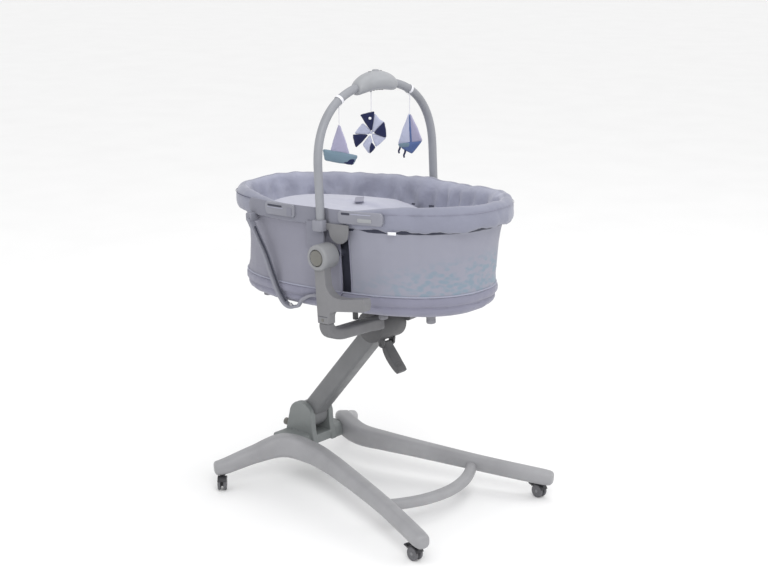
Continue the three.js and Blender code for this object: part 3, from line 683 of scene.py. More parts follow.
def strip(name, a, b, profile, mat, k=150, fold=0.0, seed=0.0, freq=26.0, body="basket", subdiv=0, fill=None, ends=True):
    """Closed profile of (d, z, e, sx) levels carried round one half of the rim shape."""
    rings = []
    n = len(profile)
    ts = []
    for lv in profile:
        if b is None:
            t0 = t_at(lv, a)
            ts.append(even_t(k, t0, 2 * math.pi - t0, lv))
        else:
            t0 = t_at(lv, b)
            ts.append(even_t(k, -t0, t0, lv))
    cz = np.mean([p[1] for p in profile])
    cd = np.mean([p[0] for p in profile])
    for i in range(k):
        u = i / (k - 1)
        row = []
        for j, lv in enumerate(profile):
            q = ov(lv, np.array([ts[j][i]]))[0]
            if fold:
                f = fbm((q[0] / freq, q[1] / freq, q[2] / (freq * 2.5)), 3, seed)
                out = ov((lv[0] + 1, *lv[1:]), np.array([ts[j][i]]))[0] - q
                out /= max(1e-6, np.linalg.norm(out))
                q = q + out * f * fold * (1 if lv[0] > cd else -1) + np.array([0, 0, 0.5 * f * fold * (1 if lv[1] > cz else -1)])
            row.append(q)
        rings.append(seat(np.array(row)))
    return make(name, Part().loft(np.array(rings), caps=ends), mat, "basket", smooth=60, subdiv=subdiv)


def roll_profile(cd, cz, rd, rz, e=-36, sx=-19, k=16, sq=0.85):
    out = []
    for i in range(k):
        a = 2 * math.pi * i / k
        out.append((cd + rd * math.copysign(abs(math.cos(a)) ** sq, math.cos(a)), cz + rz * math.copysign(abs(math.sin(a)) ** sq, math.sin(a)), e, sx))
    return out


# lower padded cover, from the piping down under the tray's edge
LOWER = [(-13.5, 672, -36, -18), (-9.5, 668, -36, -18.5), (-7.5, 660, -36, -19), (-8.5, 652, -35.5, -20), (-13, 645.5, -35.5, -21), (-17, 642.5, -35.5, -22), (-14.5, 640, -35.5, -22), (-14, 633, -36, -21.5), (-17.5, 626, -36.5, -21), (-26, 618.5, -37.5, -20), (-38, 613, -38, -19.5), (-50, 610, -38.8, -18.5), (-61, 609.5, -39, -18),
         (-61, 611, -39, -18), (-47, 615.5, -38.5, -19), (-36, 623, -38, -20), (-27, 633, -36, -21), (-23, 645, -35, -22), (-21, 660, -36, -19), (-20, 672, -36, -18)]
for tag, a, b, k in (("head", 40, None, 200), ("foot", None, 47, 180)):
    o = strip(f"lower_cover_{tag}", a, b, LOWER, "roll_fabric", k=k, fold=2.2, seed=4.0, freq=34)
    for i, (d, z, e, sx) in enumerate(((-12.0, 673.5, -36, -18), (-16.2, 642.6, -35.5, -22))):
        strip(f"piping_{tag}_{i}", a, b, roll_profile(d, z, 2.3, 2.3, e, sx, 8, 1), "piping" if i == 0 else "roll_fabric", k=k)
    # stitched seam under the rim
    strip(f"stitch_{tag}", a, b if b is None else 76, roll_profile(-13.0, 846, 0.9, 1.1, -25, 0, 6, 1), "seam", k=k)

# edge binding along the slit beside each bracket
for side, tag in ((-1, "right"), (1, "left")):
    for x, nm in ((40, "head"), (76, "foot")):
        pts = []
        L4 = np.array([(tuple(l) + (0, 0))[:4] for l in WALL])
        for z in np.linspace(858, 668, 30):
            i = [np.interp(z, L4[::-1, 1], L4[::-1, c]) for c in range(4)]
            t = t_at((i[0], z, i[2], i[3]), x)
            q = ov((i[0] - 1.0, z, i[2], i[3]), np.array([t]))[0]
            pts.append((q[0], side * abs(q[1]), z))
        s = sweep(pts, lambda t: rrect(7, 5, 2.3, 5), (1, 0, 0))
        make(f"binding_{nm}_{tag}", Part().loft(seat(s)), "roll_fabric", "basket")

# ---------------------------------------------------------------- basket: rim
keep("rim_tube", "tube_aluminium")
K = 420
tt = even_t(K + 1)[:-1]
P0 = ov((0, 900, 0, 0), tt)


def smooth01(x, a, b):
    w = min(1, max(0, (x - a) / (b - a)))
    return w * w * (3 - 2 * w)


def drop(x):
    pts = [(-600, 858), (-70, 854.5), (-20, 846), (40, 832), (110, 824), (600, 818)]
    return np.interp(x, [q[0] for q in pts], [q[1] for q in pts])


PROFILE = [  # outside bottom, round the top, down the inside to the mattress, back under
    (-12.5, 858), (-8, 856.5), (-3.5, 859.5), (-0.5, 866), (1.2, 874), (1.6, 884), (1.0, 894), (-0.6, 903), (-3.4, 910.5), (-8, 916.5), (-13.5, 920.4), (-20, 922), (-26.5, 920.6), (-32.5, 916.6), (-37.5, 910.5),
    (-41, 902), (-43.5, 890), (-45, 876), (-46.5, 862), (-50, 849), (-54.5, 840), (-51, 836), (-42, 840), (-37.5, 852), (-34, 862), (-28.6, 866), (-28.6, 892), (-12.5, 892), (-12.5, 866),
]
rings = []
for i in range(K):
    x, y = P0[i][0], P0[i][1]
    th = tt[i]
    foot = smooth01(x, 84, 150)      # padded half
    far = smooth01(y, -120, 60)
    thin = smooth01(-y, 0, 130) * (1 - smooth01(x, 40, 285)) * smooth01(x, -400, -170)
    row = []
    arc_s = i / K * 2160.0
    for j, (d, z) in enumerate(PROFILE):
        dd, zz = d, z
        out_side = 1.0 if 0 <= j <= 8 else 0.0
        in_side = smooth01(-d, 24, 40) if z < 918 else 0.15
        # soft outside folds on the padded half, plus the scalloped hem
        if out_side:
            w = fbm((arc_s / 46, z / 60, 0.3), 3, 2.0)
            dd -= 5.0 * (1 - smooth01(abs(x), 13, 28))
            dd += w * (0.9 + 2.4 * foot) - 0.6 * foot
            if j <= 2:
                hem = 3.4 * math.sin(arc_s / 17.5 + 1.3 * math.sin(arc_s / 61.0)) + 4.0 * fbm((arc_s / 30, 0.1, 0.7), 2, 5.0)
                zz += foot * hem * (1.0 if j else 0.6) - 1.0 * foot
                dd += foot * (1.6 * math.cos(arc_s / 17.5) - 1.0)
        if 8 <= j <= 14:
            w = fbm((arc_s / 70, 0.2, 0.9), 2, 11.0)
            zz += (2.0 + 5.0 * far) * w + (4.5 * smooth01(-x, -220, 60) - 2.0) * smooth01(y, -40, 160)
            dd += 1.2 * fbm((arc_s / 26, z / 40, 0.4), 2, 21.0)
        if in_side > 0.05 and j >= 14 and j <= 22:
            depth = smooth01(-z, -905, -850)
            pleat = math.sin(arc_s / 11.0 + 2.2 * math.sin(arc_s / 57.0) + 0.012 * z) * (0.5 + 0.5 * fbm((arc_s / 120, 0, 0.5), 2, 31.0) * 2)
            sag = fbm((arc_s / 85, z / 90, 0.2), 3, 41.0)
            dd += -(6.5 * pleat + 20.0 * sag) * (0.35 + 0.65 * depth) * (0.45 + 0.75 * far)
            dd = max(-64, min(dd, -37.5)) if j <= 20 else dd
        if 17 <= j <= 22:
            zz -= (0, 0.35, 0.8, 1.0, 1.0, 0.8)[j - 17] * max(0.0, 852 - drop(x)) * 0.9
        if j >= 23:
            dd, zz = d, z
        if thin > 0:
            if zz > 884:
                zz = 884 + (zz - 884) * (1 - 0.57 * thin)
            if dd < -20 and j < 23:
                w = smooth01(zz, 846, 872)
                dd = -20 + (dd + 20) * (1 - 0.42 * thin * w)
            if j >= 23:
                dd = -13.2 - (abs(dd) - 12.5) * (1 - 0.3 * thin) - 0 if dd < -20 else dd
                zz = min(zz, 898 - 8 * thin) if zz > 880 else zz
        ends = -min(38.0, max(0.0, 866 - zz) * 0.8) if 16 <= j <= 22 else 0.0
        row.append(ov((dd, zz, ends, 0), np.array([th]))[0])
    rings.append(seat(np.array(row)))
rim = make("rim_roll", Part().loft(np.array(rings), loop=True), "rim_fabric", "basket", ["rim_pad"], smooth=0)
# faces turned inward take the lighter lining copy: painted light on the inner wall
rim.data.materials.append(M["lining_fabric_painted_light"])
bpy.context.view_layer.update()
for poly in rim.data.polygons:
    c, n = rim.matrix_world @ poly.center, rim.matrix_world.to_3x3() @ poly.normal
    gx, gy = (c.x * 1000 - XS - CX) / RA ** 2, c.y * 1000 / RB ** 2
    if (n.x * gx + n.y * gy) / math.hypot(gx, gy) < -0.3:
        poly.material_index = 1
# top seams of the rim: stitched line outside and a welt on the head half
strip("rim_seam_head", -26, None, roll_profile(0.7, 903.5, 0.9, 1.0, 0, 0, 6, 1), "seam", k=200)
strip("rim_seam_foot", None, 84, roll_profile(0.4, 903.5, 0.7, 0.8, 0, 0, 6, 1), "roll_fabric", k=170)

# dark strips just under the hem, foot half in the shade cloth and head half in the seam colour: painted shadow of the
# overhanging hem
strip("hem_shade_band", None, 80, [(-9.5, 859, 0), (-9.0, 854, -8), (-10.5, 848.5, -20), (-14, 848.5, -20), (-14, 859, 0)], "shade_band", k=170, fold=1.4, seed=6.0)
strip("hem_shade_band_head", 44, None, [(-9.5, 859, 0), (-9.6, 855.5, -6), (-11.0, 852.5, -16), (-14, 852.5, -16), (-14, 859, 0)], "seam", k=170, fold=1.0, seed=8.0)
# smooth rail cover along the head half, near and far
for side, tag in ((-1, "right"), (1, "left")):
    xs = np.linspace(-318, 78, 90)
    rings = []
    for x in xs:
        e = min(1.0, (x - xs[0]) / 20 + 0.05, (xs[-1] - x) / 12 + 0.05)
        e = math.sqrt(max(0.03, 1 - (1 - min(1, e)) ** 2))
        row = []
        for u, v in rrect(3.4, 46 * e, 1.6, 6):
            row.append((x, side * (ov_y(x, 1.8) + 1.0 - 6.2 * (1 - smooth01(abs(x), 13.5, 27)) + u - 0.0018 * (v * v) / 2.2), 884 + v))
        rings.append(row)
    make(f"rim_cover_{tag}", Part().loft(seat(np.array(rings))), "rail_fabric", "basket", smooth=50)

for side, tag in ((-1, "right"), (1, "left")):
    yy = lambda a, b, side=side: (-b, -a) if side < 0 else (a, b)
    for end, x0, x1 in (("head", -226, -102), ("foot", 62, 204)):
        xs = np.linspace(x0, x1, 40)
        rings = []
        for x in xs:
            e = min(x - x0, x1 - x)
            e = 1 if e > 9 else math.sqrt(max(0.02, 1 - (1 - e / 9) ** 2))
            rings.append([(x, side * (ov_y(x, 2.3) + 4 + u), 889 + v) for u, v in rrect(7, 17 + 19 * e, 2.6, 5)])
        make(f"grip_plate_{end}_{tag}", Part().loft(seat(np.array(rings))), "grip_grey", "basket", [f"grip_{end}_{tag}"], smooth=50)

        def plate(name, xa, xb, zc, hgt, proud, mat, r, side=side):
            xs2 = np.linspace(xa, xb, 24)
            rg = []
            for x in xs2:
                e = min(x - xa, xb - x)
                e = 1 if e > r else math.sqrt(max(0.02, 1 - (1 - e / r) ** 2))
                rg.append([(x, side * (ov_y(x, 2.3) + 7.4 + u), zc + v) for u, v in rrect(proud * 2, hgt * (1 - 0.35 * (1 - e)), min(proud, hgt / 2) * 0.9, 5)])
            make(name, Part().loft(seat(np.array(rg))), mat, "basket", smooth=50)

        # the slot plates are flat dark plates that paint the shade inside the finger recess
        if end == "head":
            plate(f"grip_slot_{end}_{tag}", x0 + 12, x0 + 74, 898, 5.5, 0.7, "slot", 3)
            plate(f"grip_lip_{end}_{tag}", x0 + 10, x0 + 78, 892.5, 2.6, 1.4, "piping", 3)
            plate(f"grip_key_{end}_{tag}", x1 - 30, x1 - 10, 886, 25, 1.6, "rail_fabric", 4)
        else:
            plate(f"grip_slot_{end}_{tag}", x0 + 12, x0 + 40, 899, 6.5, 0.7, "slot", 3)
            plate(f"grip_lip_{end}_{tag}", x0 + 44, x1 - 34, 899.5, 3.0, 1.5, "piping", 3)
            plate(f"grip_key_{end}_{tag}", x0 + 66, x1 - 32, 884, 11, 1.8, "arch_grey", 4)
    keep(f"side_plate_{tag}", "board", 0.8)
    # side tab below the rim and the socket that takes the arch
    tab = fillet([(14, 868), (14, 852), (26, 850), (30, 832), (42, 818), (58, 813.5), (76, 816), (91, 827), (97, 846), (98, 868)], [2, 2, 8, 12, 14, 16, 14, 12, 10, 3])
    stem = fillet([(-58, 868), (-58, 806), (-48, 797), (2, 797), (5, 801), (6, 868)], [3, 12, 8, 4, 4, 2])
    make(f"arch_stem_plate_{tag}", Part().prism(stem, *yy(236, 241.6), place=seat), "rail_fabric", "basket", bevel=1.6, seg=3)
    make(f"side_tab_{tag}", Part().prism(tab, *yy(236, 241.6), place=seat), "bracket_grey", "basket", [f"arch_socket_{tag}"], bevel=2.2, seg=3)
    outline = rrect(38, 25, 7, 7)
    b = Part()
    prof = [(1.0, 846), (1.0, 874), (0.94, 876), (0.72, 876)]
    rings = [np.array([(u * s, side * (248.5 + v * s), z) for u, v in outline]) for s, z in ((0.9, 846), (1.0, 848.5), (1.0, 873.5), (0.93, 876))]
    hole = [(ARCH_R + 0.6) / 1.0]
    a = np.array([math.atan2(v, u) for u, v in outline])
    inner = lambda z: np.array([((ARCH_R + 0.7) * math.cos(q), side * (ARCH_HALF + (ARCH_R + 0.7) * math.sin(q)), z) for q in a])
    rings += [inner(876), inner(852.3)]
    make(f"arch_cup_{tag}", b.loft(seat(np.array(rings))), "grip_grey", "basket", smooth=45)
    rail = catmull([(-298, side * 227, 850), (-283.6, side * 227, 825), (-264, side * 226.5, 789), (-243.9, side * 226, 753.4), (-218.7, side * 225, 692.3), (-199.8, side * 222, 645.6), (-183, side * 219, 617), (-172, side * 217, 608), (-158, side * 216, 604.5), (-142, side * 217, 608), (-126, side * 221, 613), (-100, side * 230, 636), (-60, side * 234, 654), (-20, side * 234, 660)], 110)
    make(f"rail_{tag}", Part().loft(seat(sweep(rail, lambda t: rrect(9, 24 - 11 * smooth01(t, 0.55, 0.75), 3.6, 6), (0, 1, 0)))), "grip_grey", "basket", [f"side_rail_{tag}"], bevel=1.0, angle=60)
    # clip that ties the rail's upper end to the rim
    cl = [[(-298 + u, side * y, 853 + v) for u, v in rrect(22 * k, 26 * k, 5, 5)] for y, k in ((199, 0.94), (201, 1), (229.6, 1), (232, 0.9))]
    make(f"rail_clip_{tag}", Part().loft(seat(np.array(cl))), "grip_grey", "basket", bevel=1.0)
    # dark strip behind the rail's upper run: painted shadow cast beside the rail
    gas = catmull([(x + 9.5, side * (y + 3.2), z + 4) for x, y, z in [(-283.6, 227, 825), (-264, 226.5, 789), (-243.9, 226, 753.4), (-218.7, 225, 692.3), (-199.8, 222, 645.6), (-183, 219, 617)]], 50)
    make(f"rail_shadow_gasket_{tag}", Part().loft(seat(sweep(gas, lambda t: rrect(4.4, 3.4, 1.2, 5), (0, 1, 0)))), "slot", "basket")
    b = Part().lathe([(0, side * 226.4), (5.2, side * 226.4), (6.2, side * 225.6), (6.2, side * 222), (0, side * 222)], lambda u, v, y: seat([-157 + u, y - side * 4, 611 + v]), 24)
    make(f"rail_pin_{tag}", b, "pin_steel", "basket")
for n in ("head_board", "foot_board"):
    keep(n, "board", 1.0)


# ---------------------------------------------------------------- cloth
def puff(ob, voxel, pressure=4.0, cap=6.0, frames=18, shrink=0.0, pin=None, smooth_after=2, stiff=12.0):
    """Remesh, blow up gently with Cloth, cap how far a point moves, apply, one subdivision."""
    bpy.context.view_layer.update()
    dg = bpy.context.evaluated_depsgraph_get()
    me = bpy.data.meshes.new_from_object(ob.evaluated_get(dg))
    old = ob.data
    mats = list(old.materials)
    work = bpy.data.objects.new(ob.name + "_work", me)
    scene.collection.objects.link(work)
    r = work.modifiers.new("v", "REMESH")
    r.mode, r.voxel_size, r.use_smooth_shade = "VOXEL", voxel / 1000, True
    bpy.context.view_layer.update()
    me2 = bpy.data.meshes.new_from_object(work.evaluated_get(bpy.context.evaluated_depsgraph_get()))
    work.modifiers.clear()
    work.data = me2
    rest = np.zeros(len(me2.vertices) * 3)
    me2.vertices.foreach_get("co", rest)
    rest = rest.reshape(-1, 3)
    if pin is not None:
        g = work.vertex_groups.new(name="pin")
        ids = [i for i, q in enumerate(rest) if pin(q)]
        g.add(ids, 1.0, "REPLACE")
    c = work.modifiers.new("c", "CLOTH")
    s = c.settings
    s.quality, s.mass = 5, 0.3
    s.tension_stiffness = s.compression_stiffness = stiff
    s.shear_stiffness, s.bending_stiffness = 6.0, 0.6
    s.use_pressure, s.uniform_pressure_force = True, pressure
    s.effector_weights.gravity = 0.0
    if shrink:
        s.shrink_min = -shrink
    if pin is not None:
        s.vertex_group_mass = "pin"
    c.collision_settings.use_self_collision = False
    c.collision_settings.use_collision = False
    c.point_cache.frame_start, c.point_cache.frame_end = 1, frames
    for f in range(1, frames + 1):
        scene.frame_set(f)
    dg = bpy.context.evaluated_depsgraph_get()
    me3 = bpy.data.meshes.new_from_object(work.evaluated_get(dg))
    now = np.zeros(len(me3.vertices) * 3)
    me3.vertices.foreach_get("co", now)
    now = now.reshape(-1, 3)
    d = now - rest
    ln = np.linalg.norm(d, axis=1)
    lim = cap / 1000
    d *= (np.minimum(ln, lim) / np.maximum(ln, 1e-9))[:, None]
    work.modifiers.clear()
    me2.vertices.foreach_set("co", (rest + d).astype(np.float32).ravel())
    me2.update()
    scene.frame_set(1)
    bpy.data.objects.remove(work)
    me2.materials.clear()
    for m_ in mats:
        me2.materials.append(m_)
    ob.modifiers.clear()
    ob.data = me2
    me2.name = ob.name
    shade(ob, 0)
    if smooth_after:
        cs = ob.modifiers.new("relax", "SMOOTH")
        cs.factor, cs.iterations = 0.5, smooth_after
    sb = ob.modifiers.new("fine", "SUBSURF")
    sb.levels = sb.render_levels = 1
    return ob


# ---------------------------------------------------------------- mattress
mt = even_t(161)[:-1]
rows = []
for d, z, e, sx in ((-72, 777, -36, -4), (-60, 778, -36, -4), (-54, 783, -35, -4), (-52.5, 792, -34, -3), (-51.5, 806, -33, -2), (-51.5, 822, -32.5, -1), (-52.5, 832, -32, 0), (-56, 844, -32, 0), (-63, 852, -32, 0), (-76, 858, -32, 0), (-100, 863, -32, 0), (-140, 867, -32, 0), (-190, 868.5, -32, 0)):
    r = ov((d, z, e, sx), mt)
    top = np.array([drop(x) for x in r[:, 0]])
    r[:, 2] = np.where(r[:, 2] > 800, 800 + (r[:, 2] - 800) * (top - 800) / 54.0, r[:, 2])
    rows.append(r)
mat_ob = make("mattress_pad", Part().loft(seat(np.array(rows))), "mattress_fabric", "basket", ["mattress"], smooth=0)
puff(mat_ob, 7.0, 3.0, 5.0, 14, smooth_after=3)
# piping round the mattress top, and the short strap tab
mp = []
for i, t in enumerate(mt):
    q = ov((-53.5, 840, -32, 0), np.array([t]))[0]
    mp.append((q[0], q[1], 800 + (838.5 - 800) * (drop(q[0]) - 800) / 54.0))
mp = np.array(mp)
rg = []
for i in range(len(mp)):
    t = mp[(i + 1) % len(mp)] - mp[i - 1]
    t /= np.linalg.norm(t)
    s = np.cross(t, (0, 0, 1))
    s /= np.linalg.norm(s)
    rg.append([mp[i] + u * s + v * np.array([0, 0, 1]) for u, v in ring(2.2, 8)])
make("mattress_piping", Part().loft(seat(np.array(rg)), loop=True), "piping", "basket", smooth=0)
strap = catmull([(-103.6, 27.3, 0), (-117.5, 43.2, 0), (-131.4, 59.2, 0), (-145.3, 75.1, 0), (-159.2, 91.1, 0)], 20)
strap = np.array([(x, y, 800 + (868 - 800) * (drop(x) - 800) / 54.0 - 5.5 * smooth01(abs(y), 60, 150) + 4.2) for x, y, z in strap])
make("strap_tab", Part().loft(seat(sweep(strap, lambda t: rrect(26, 2.6, 1.2, 5)))), "roll_fabric", "basket", smooth=50)

# ---------------------------------------------------------------- toy arch
K2, z0 = 96, 1010.0
hh, nn = ARCH_TOP - z0, 2.35
pts = [(0, -ARCH_HALF, z) for z in np.linspace(853, 1000, 14)]
for i in range(K2 + 1):
    a = math.pi * i / K2
    ca, sa = math.cos(a), max(0.0, math.sin(a))
    pts.append((0, -ARCH_HALF * math.copysign(abs(ca) ** (2 / nn), ca), z0 + hh * sa ** (2 / nn)))
pts += [(0, ARCH_HALF, z) for z in np.linspace(1000, 853, 14)]
make("arch_tube", Part().loft(seat(sweep(pts, lambda t: ring(ARCH_R, 28), (1, 0, 0)))), "arch_tube", "arch", ["toy_arch"], bevel=0.8, angle=60)
ys = np.concatenate([[-79.5, -79, -78, -76, -72], np.linspace(-66, 66, 27), [72, 76, 78, 79, 79.5]])
rings = []
for y in ys:
    q = math.sqrt(max(0.0008, 1 - (y / 79.6) ** 2)) ** 0.8
    zc = ARCH_TOP + 8 - 15.5 * (y / 78) ** 2
    rings.append([(u * (12.6 + 18.4 * q), y, zc + v * (12.6 + 14.4 * q) - 2.0 * (1 - q)) for u, v in ring(1, 40)])
make("music_pod", Part().loft(seat(np.array(rings))), "arch_grey", "arch", ["music_box"], smooth=60)
b = Part().lathe([(0, 38.5), (6.5, 38.3), (8.8, 37.4), (9.8, 35.6), (9.8, 27), (0, 27)], lambda u, v, z: seat([u, 6 + v, ARCH_TOP + z]), 32)
make("music_key", b, "arch_grey", "music_button", ["music_button"])
for i, (yy_, r) in enumerate(((-18, 5.2), (26, 5.2))):
    zt = ARCH_TOP + 8 - 15.5 * (yy_ / 78) ** 2 + 26.2
    b = Part().lathe([(0, zt + 1.6), (r * 0.7, zt + 1.4), (r, zt + 0.2), (r, zt - 3), (0, zt - 3)], lambda u, v, z, yy_=yy_: seat([u, yy_ + v, z]), 24)
    make(f"music_dot_{i}", b, "bracket_grey", "arch")
# speaker slots under the pod, dark boxes that paint the shade inside the openings
for i in range(5):
    yk = -24 + 12 * i
    zc = ARCH_TOP + 8 - 15.5 * (yk / 78) ** 2 - 26.3
    make(f"pod_slot_{i}", Part().loft(seat(np.array([[(x, yk + u, zc + v) for u, v in rrect(3, 1.6, 0.7, 4)] for x in (-9, 9)]))), "slot", "arch")

# ribbon loops over the arch tube, above each toy
for tag, y, ztop, length in HANG:
    if tag == "pinwheel":
        base_z = ztop
        lp = [(0, y, base_z - 0.5), (0, y, base_z + 5), (0, y, base_z + 9)]
        s = sweep(catmull(lp, 6), lambda t: rrect(3 + 6 * t, 1.6, 0.7, 4), (1, 0, 0))
        make(f"{tag}_tie", Part().loft(seat(s)), "ribbon", "arch")
        continue
    i = min(range(len(pts)), key=lambda k: abs(pts[k][1] - y) + (0 if pts[k][2] > 1100 else 1e3))
    c0 = np.array(pts[i], float)
    tdir = np.array(pts[min(i + 1, len(pts) - 1)], float) - np.array(pts[i - 1], float)
    tdir /= np.linalg.norm(tdir)
    nup = np.cross((1, 0, 0), tdir)
    if nup[2] < 0:
        nup = -nup
    low = np.array([0, y, ztop - 0.5])
    band = []
    for a in np.linspace(-62, 242, 40):
        a = math.radians(a)
        band.append(c0 + (ARCH_R + 1.1) * (math.cos(a) * np.array([1, 0, 0]) + math.sin(a) * nup))
    band = [low + np.array([1.0, 0, 0.2])] + band + [low + np.array([-1.0, 0, 0.2])]
    rgs = []
    for k, q in enumerate(band):
        t = np.array(band[min(k + 1, len(band) - 1)]) - np.array(band[max(k - 1, 0)])
        t /= np.linalg.norm(t)
        wdt = tdir if 0 < k < len(band) - 1 else tdir
        o = np.cross(t, wdt)
        o /= max(1e-6, np.linalg.norm(o))
        wd = 9.0 if 1 < k < len(band) - 2 else 3.0
        rgs.append([q + wdt * u + o * v for u, v in rrect(wd, 1.0, 0.45, 4)])
    make(f"{tag}_loop", Part().loft(seat(np.array(rgs))), "ribbon", "arch", smooth=50)

# ---------------------------------------------------------------- toys
RZ = math.radians(30)


def toy_place(tag):
    o = TOYTOP[tag]

    def f(p):
        p = np.asarray(p, float)
        x, y, z = p[..., 0], p[..., 1], p[..., 2]
        return np.stack([o[0] + x * math.cos(RZ) - y * math.sin(RZ), o[1] + x * math.sin(RZ) + y * math.cos(RZ), o[2] + z], -1)

    return f


def pillow(name, outline, thick, mat, tag, place, y0=0.0, replaces=(), voxel=2.6, cap=2.2):
    """A stuffed shape cut from an outline in its own X-Z plane, crowned both sides."""
    o = fillet(outline, 3.0, 4)
    # refine the outline
    q = []
    for i in range(len(o)):
        a, b = o[i], o[(i + 1) % len(o)]
        k = max(1, int(np.linalg.norm(b - a) / 4))
        q += [a + (b - a) * j / k for j in range(k)]
    q = np.array(q)
    c = q.mean(0)
    q = q + (q - c) / np.maximum(1e-6, np.linalg.norm(q - c, axis=1))[:, None] * 2.4
    rings = []
    for s, h in ((0.97, -0.02), (0.90, -0.30), (0.75, -0.42), (0.5, -0.47), (0.25, -0.5)):
        rings.append([(c[0] + (u - c[0]) * s, y0 + thick * h, c[1] + (v - c[1]) * s) for u, v in q])
    rings = rings[::-1]
    edge = [[(u, y0 - 0.6, v) for u, v in q], [(u, y0 + 0.6, v) for u, v in q]]
    top = [[(a, 2 * y0 - b, cc) for a, b, cc in r] for r in rings[::-1]]
    ob = make(name, Part().loft(place(np.array(rings + edge + top))), mat, tag, replaces, smooth=0)
    puff(ob, voxel, 2.5, cap, 10, smooth_after=2)
    return ob


f = toy_place("boat")
pillow("boat_sail", [(-3.5, 8), (3.5, 8), (30, -72), (-26, -65)], 9, "toy_lilac", "boat", f, replaces=["boat_toy"])
pillow("boat_hull", [(-47, -58), (53, -73), (39, -99), (-40, -90)], 17, "toy_teal", "boat", f, y0=-1.0)
pillow("boat_patch", [(20, -79), (45, -84), (36, -98), (14, -95)], 4.5, "toy_navy", "boat", f, y0=-6.6, voxel=1.8, cap=0.8)
f = toy_place("pinwheel")
NAVY = [[(0, 5), (-31, 49), (10, 60), (3, 8)], [(8, -1), (38, 33), (44, -13)], [(-7, -6), (-52, -8), (-44, -45)], [(1, -26), (11, -42), (-6, -64)]]
PALE = [[(2, 4), (9, 56), (24, 36), (38, 31), (8, 1)], [(-1, 5), (-24, 25), (-50, -6), (-7, -5)], [(3, -3), (43, -13), (13, -41), (2, -8)], [(-3, -6), (2, -25), (-6, -62), (-24, -35)]]
for i in range(4):
    pillow(f"pinwheel_blade_{i}", [(u, v - 46) for u, v in NAVY[i]], 8, "toy_navy", "pinwheel", f, y0=-1.8, replaces=["pinwheel_toy"] if i == 0 else (), voxel=2.2, cap=1.5)
    pillow(f"pinwheel_leaf_{i}", [(u, v - 46) for u, v in PALE[i]], 7, "toy_pale", "pinwheel", f, y0=1.6, voxel=2.2, cap=1.5)
b = Part().lathe([(0, -6.4), (2.4, -6.2), (3.4, -5.2), (3.6, -3.6), (3.6, 3.6), (3.4, 5.2), (2.4, 6.2), (0, 6.4)], lambda u, v, y: f([u, y, -46 + v]), 24)
make("pinwheel_hub", b, "toy_pale", "pinwheel")
b = Part().lathe([(0, -8.6), (3.0, -8.4), (4.0, -7.6), (4.0, -5), (0, -5)], lambda u, v, y: f([-2 + u, y, -5 + v]), 18)
make("pinwheel_dot", b, "label", "pinwheel")
f = toy_place("sailboat")
pillow("sailboat_sail_a", [(-4, 6), (-0.5, 6), (2.5, -82), (-35, -83)], 10, "toy_pale", "sailboat", f, replaces=["sailboat_toy"])
pillow("sailboat_sail_b", [(0.5, 6), (4.5, 4), (39, -72), (5.5, -80)], 10, "toy_lilac", "sailboat", f)
pillow("sailboat_mast", [(-2.4, 4), (2.4, 4), (8.4, -83), (2.0, -84)], 11, "toy_blue", "sailboat", f, voxel=2.0, cap=1.0)
pillow("sailboat_hull", [(-33, -82), (38, -71), (7, -109), (-20, -96)], 15, "toy_blue", "sailboat", f)
pillow("sailboat_trim", [(-33, -82), (2, -78), (-1, -89), (-26, -91)], 5, "toy_teal", "sailboat", f, y0=-6.0, voxel=1.8, cap=0.8)
for i, (x, dxx) in enumerate(((-27, -5), (-12, -5))):
    zt = -86 if i == 0 else -98
    tail = catmull([(x, -2, zt), (x - 0.6, -3, zt - 8), (x - 4, -3, zt - 17), (x - 3, -3, zt - 23)], 16)
    make(f"sailboat_tail_{i}", Part().loft(f(sweep(tail, lambda t: ring(3.2 * (1 - 0.2 * t), 12), (0, 1, 0), dome=1.2))), "toy_navy", "sailboat", smooth=0)

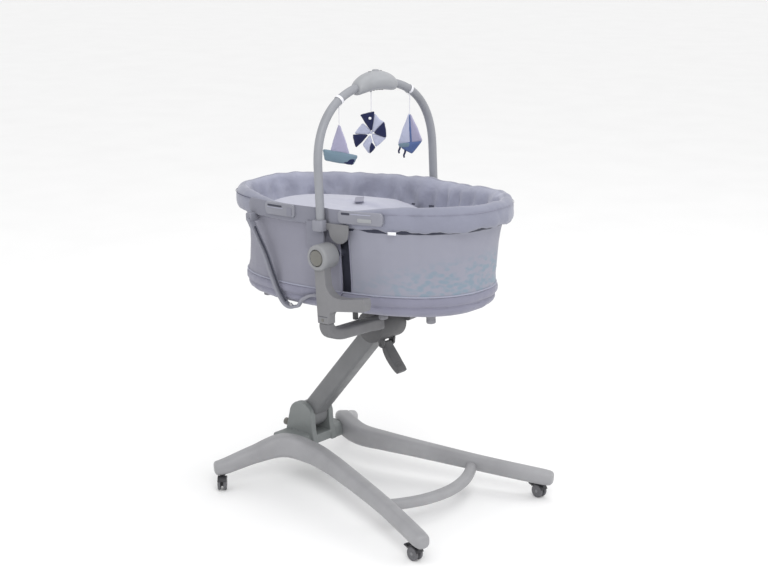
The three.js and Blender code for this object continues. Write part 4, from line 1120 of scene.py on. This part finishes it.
# ---------------------------------------------------------------- casters
CAST = [("rear_right", -1, -1, 131), ("front_right", 1, -1, -8), ("rear_left", -1, 1, -131), ("front_left", 1, 1, -8)]
for tag, sx, sy, deg in CAST:
    r0 = math.radians(deg)
    ca, sa = math.cos(r0), math.sin(r0)

    def cp(p, sx=sx, sy=sy, ca=ca, sa=sa):
        p = np.asarray(p, float)
        x, y, z = p[..., 0], p[..., 1], p[..., 2]
        return np.stack([sx * 383 + XS + x * ca - y * sa, sy * 286 + x * sa + y * ca, z], -1)

    w = Part()
    for s in (-1, 1):
        prof = [(0, 11.4), (4.2, 11.6), (5.0, 12.6), (8.5, 12.9), (13.0, 12.3), (15.6, 12.4), (16.6, 13), (18.4, 12.6), (19.6, 11.2), (20, 9.2), (20, 7.0), (19.5, 5.2), (18.4, 4.5), (2.9, 4.5), (2.9, 0)]
        w.lathe([(r, s * h_) for r, h_ in prof], lambda u, v, y: cp([-12 + u, y, 20 + v]), 48)
    make(f"wheel_pair_{tag}", w, "wheel_grey", f"wheel_{tag}", [f"wheels_{tag}"], smooth=35)
    for s in (-1, 1):
        w = Part().lathe([(0, s * 13.0), (4.4, s * 13.0), (4.8, s * 12.4), (4.8, s * 11.5), (0, s * 11.5)], lambda u, v, y: cp([-12 + u, y, 20 + v]), 24)
        make(f"wheel_cap_{tag}_{'a' if s < 0 else 'b'}", w, "wheel_cap", f"wheel_{tag}")
    keep(f"caster_hood_{tag}", "caster_black", 0.35, 40)
    if sx > 0:
        keep(f"brake_tab_{tag}", "caster_black", 0.8)

# small blank tag sewn under the rim at the foot half
q = np.array([[ov((3.6, z, 0, 0), np.array([-t_at((3.6, z, 0, 0), x)]))[0] for z in (849, 853, 857.5)] for x in np.linspace(214, 238, 6)])
m_, n_ = q.shape[:2]
tg = make("blank_tag", Part().add(seat(q), loft_faces(m_, n_, wrap=False)), "label", "basket", smooth=0)
so = tg.modifiers.new("t", "SOLIDIFY")
so.thickness = 0.0009

# ---------------------------------------------------------------- floor, light
fm = bpy.data.meshes.new("floor")
fm.from_pydata([(-30, -30, 0), (30, -30, 0), (30, 30, 0), (-30, 30, 0)], [], [(0, 1, 2, 3)])
floor = bpy.data.objects.new("floor", fm)
scene.collection.objects.link(floor)
tf = Tree("floor_paper")
tf.l.new(tf.mix(tf.span(tf.noise(3, 3), 0, 1), (0.93, 0.93, 0.93), (0.95, 0.95, 0.95)), tf.b.inputs["Base Color"])
tf.b.inputs["Roughness"].default_value = 0.9
tf.b.inputs["Specular IOR Level"].default_value = 0.1
fm.materials.append(tf.m)

wd = bpy.data.worlds.new("studio")
scene.world = wd
wd.use_nodes = True
wd.node_tree.nodes["Background"].inputs["Color"].default_value = (1, 1, 1, 1)
wd.node_tree.nodes["Background"].inputs["Strength"].default_value = 0.97


def area(name, loc, target, size, power):
    li = bpy.data.lights.new(name, "AREA")
    li.shape, li.size, li.energy = "DISK", size, power
    ob = bpy.data.objects.new(name, li)
    scene.collection.objects.link(ob)
    ob.location = loc
    ob.rotation_mode = "QUATERNION"
    ob.rotation_quaternion = (Vector(target) - Vector(loc)).to_track_quat("-Z", "Y")
    return ob


area("key", (2.6, -2.2, 3.2), (0, 0, 0.7), 2.0, 46)
area("top", (0.3, 0.2, 3.8), (0, 0, 0.6), 2.6, 22)
area("rim", (2.6, 2.6, 2.4), (0, 0, 0.8), 1.8, 14)
scene.view_settings.view_transform = "Standard"
scene.view_settings.look = "None"
scene.view_settings.exposure = 0.0
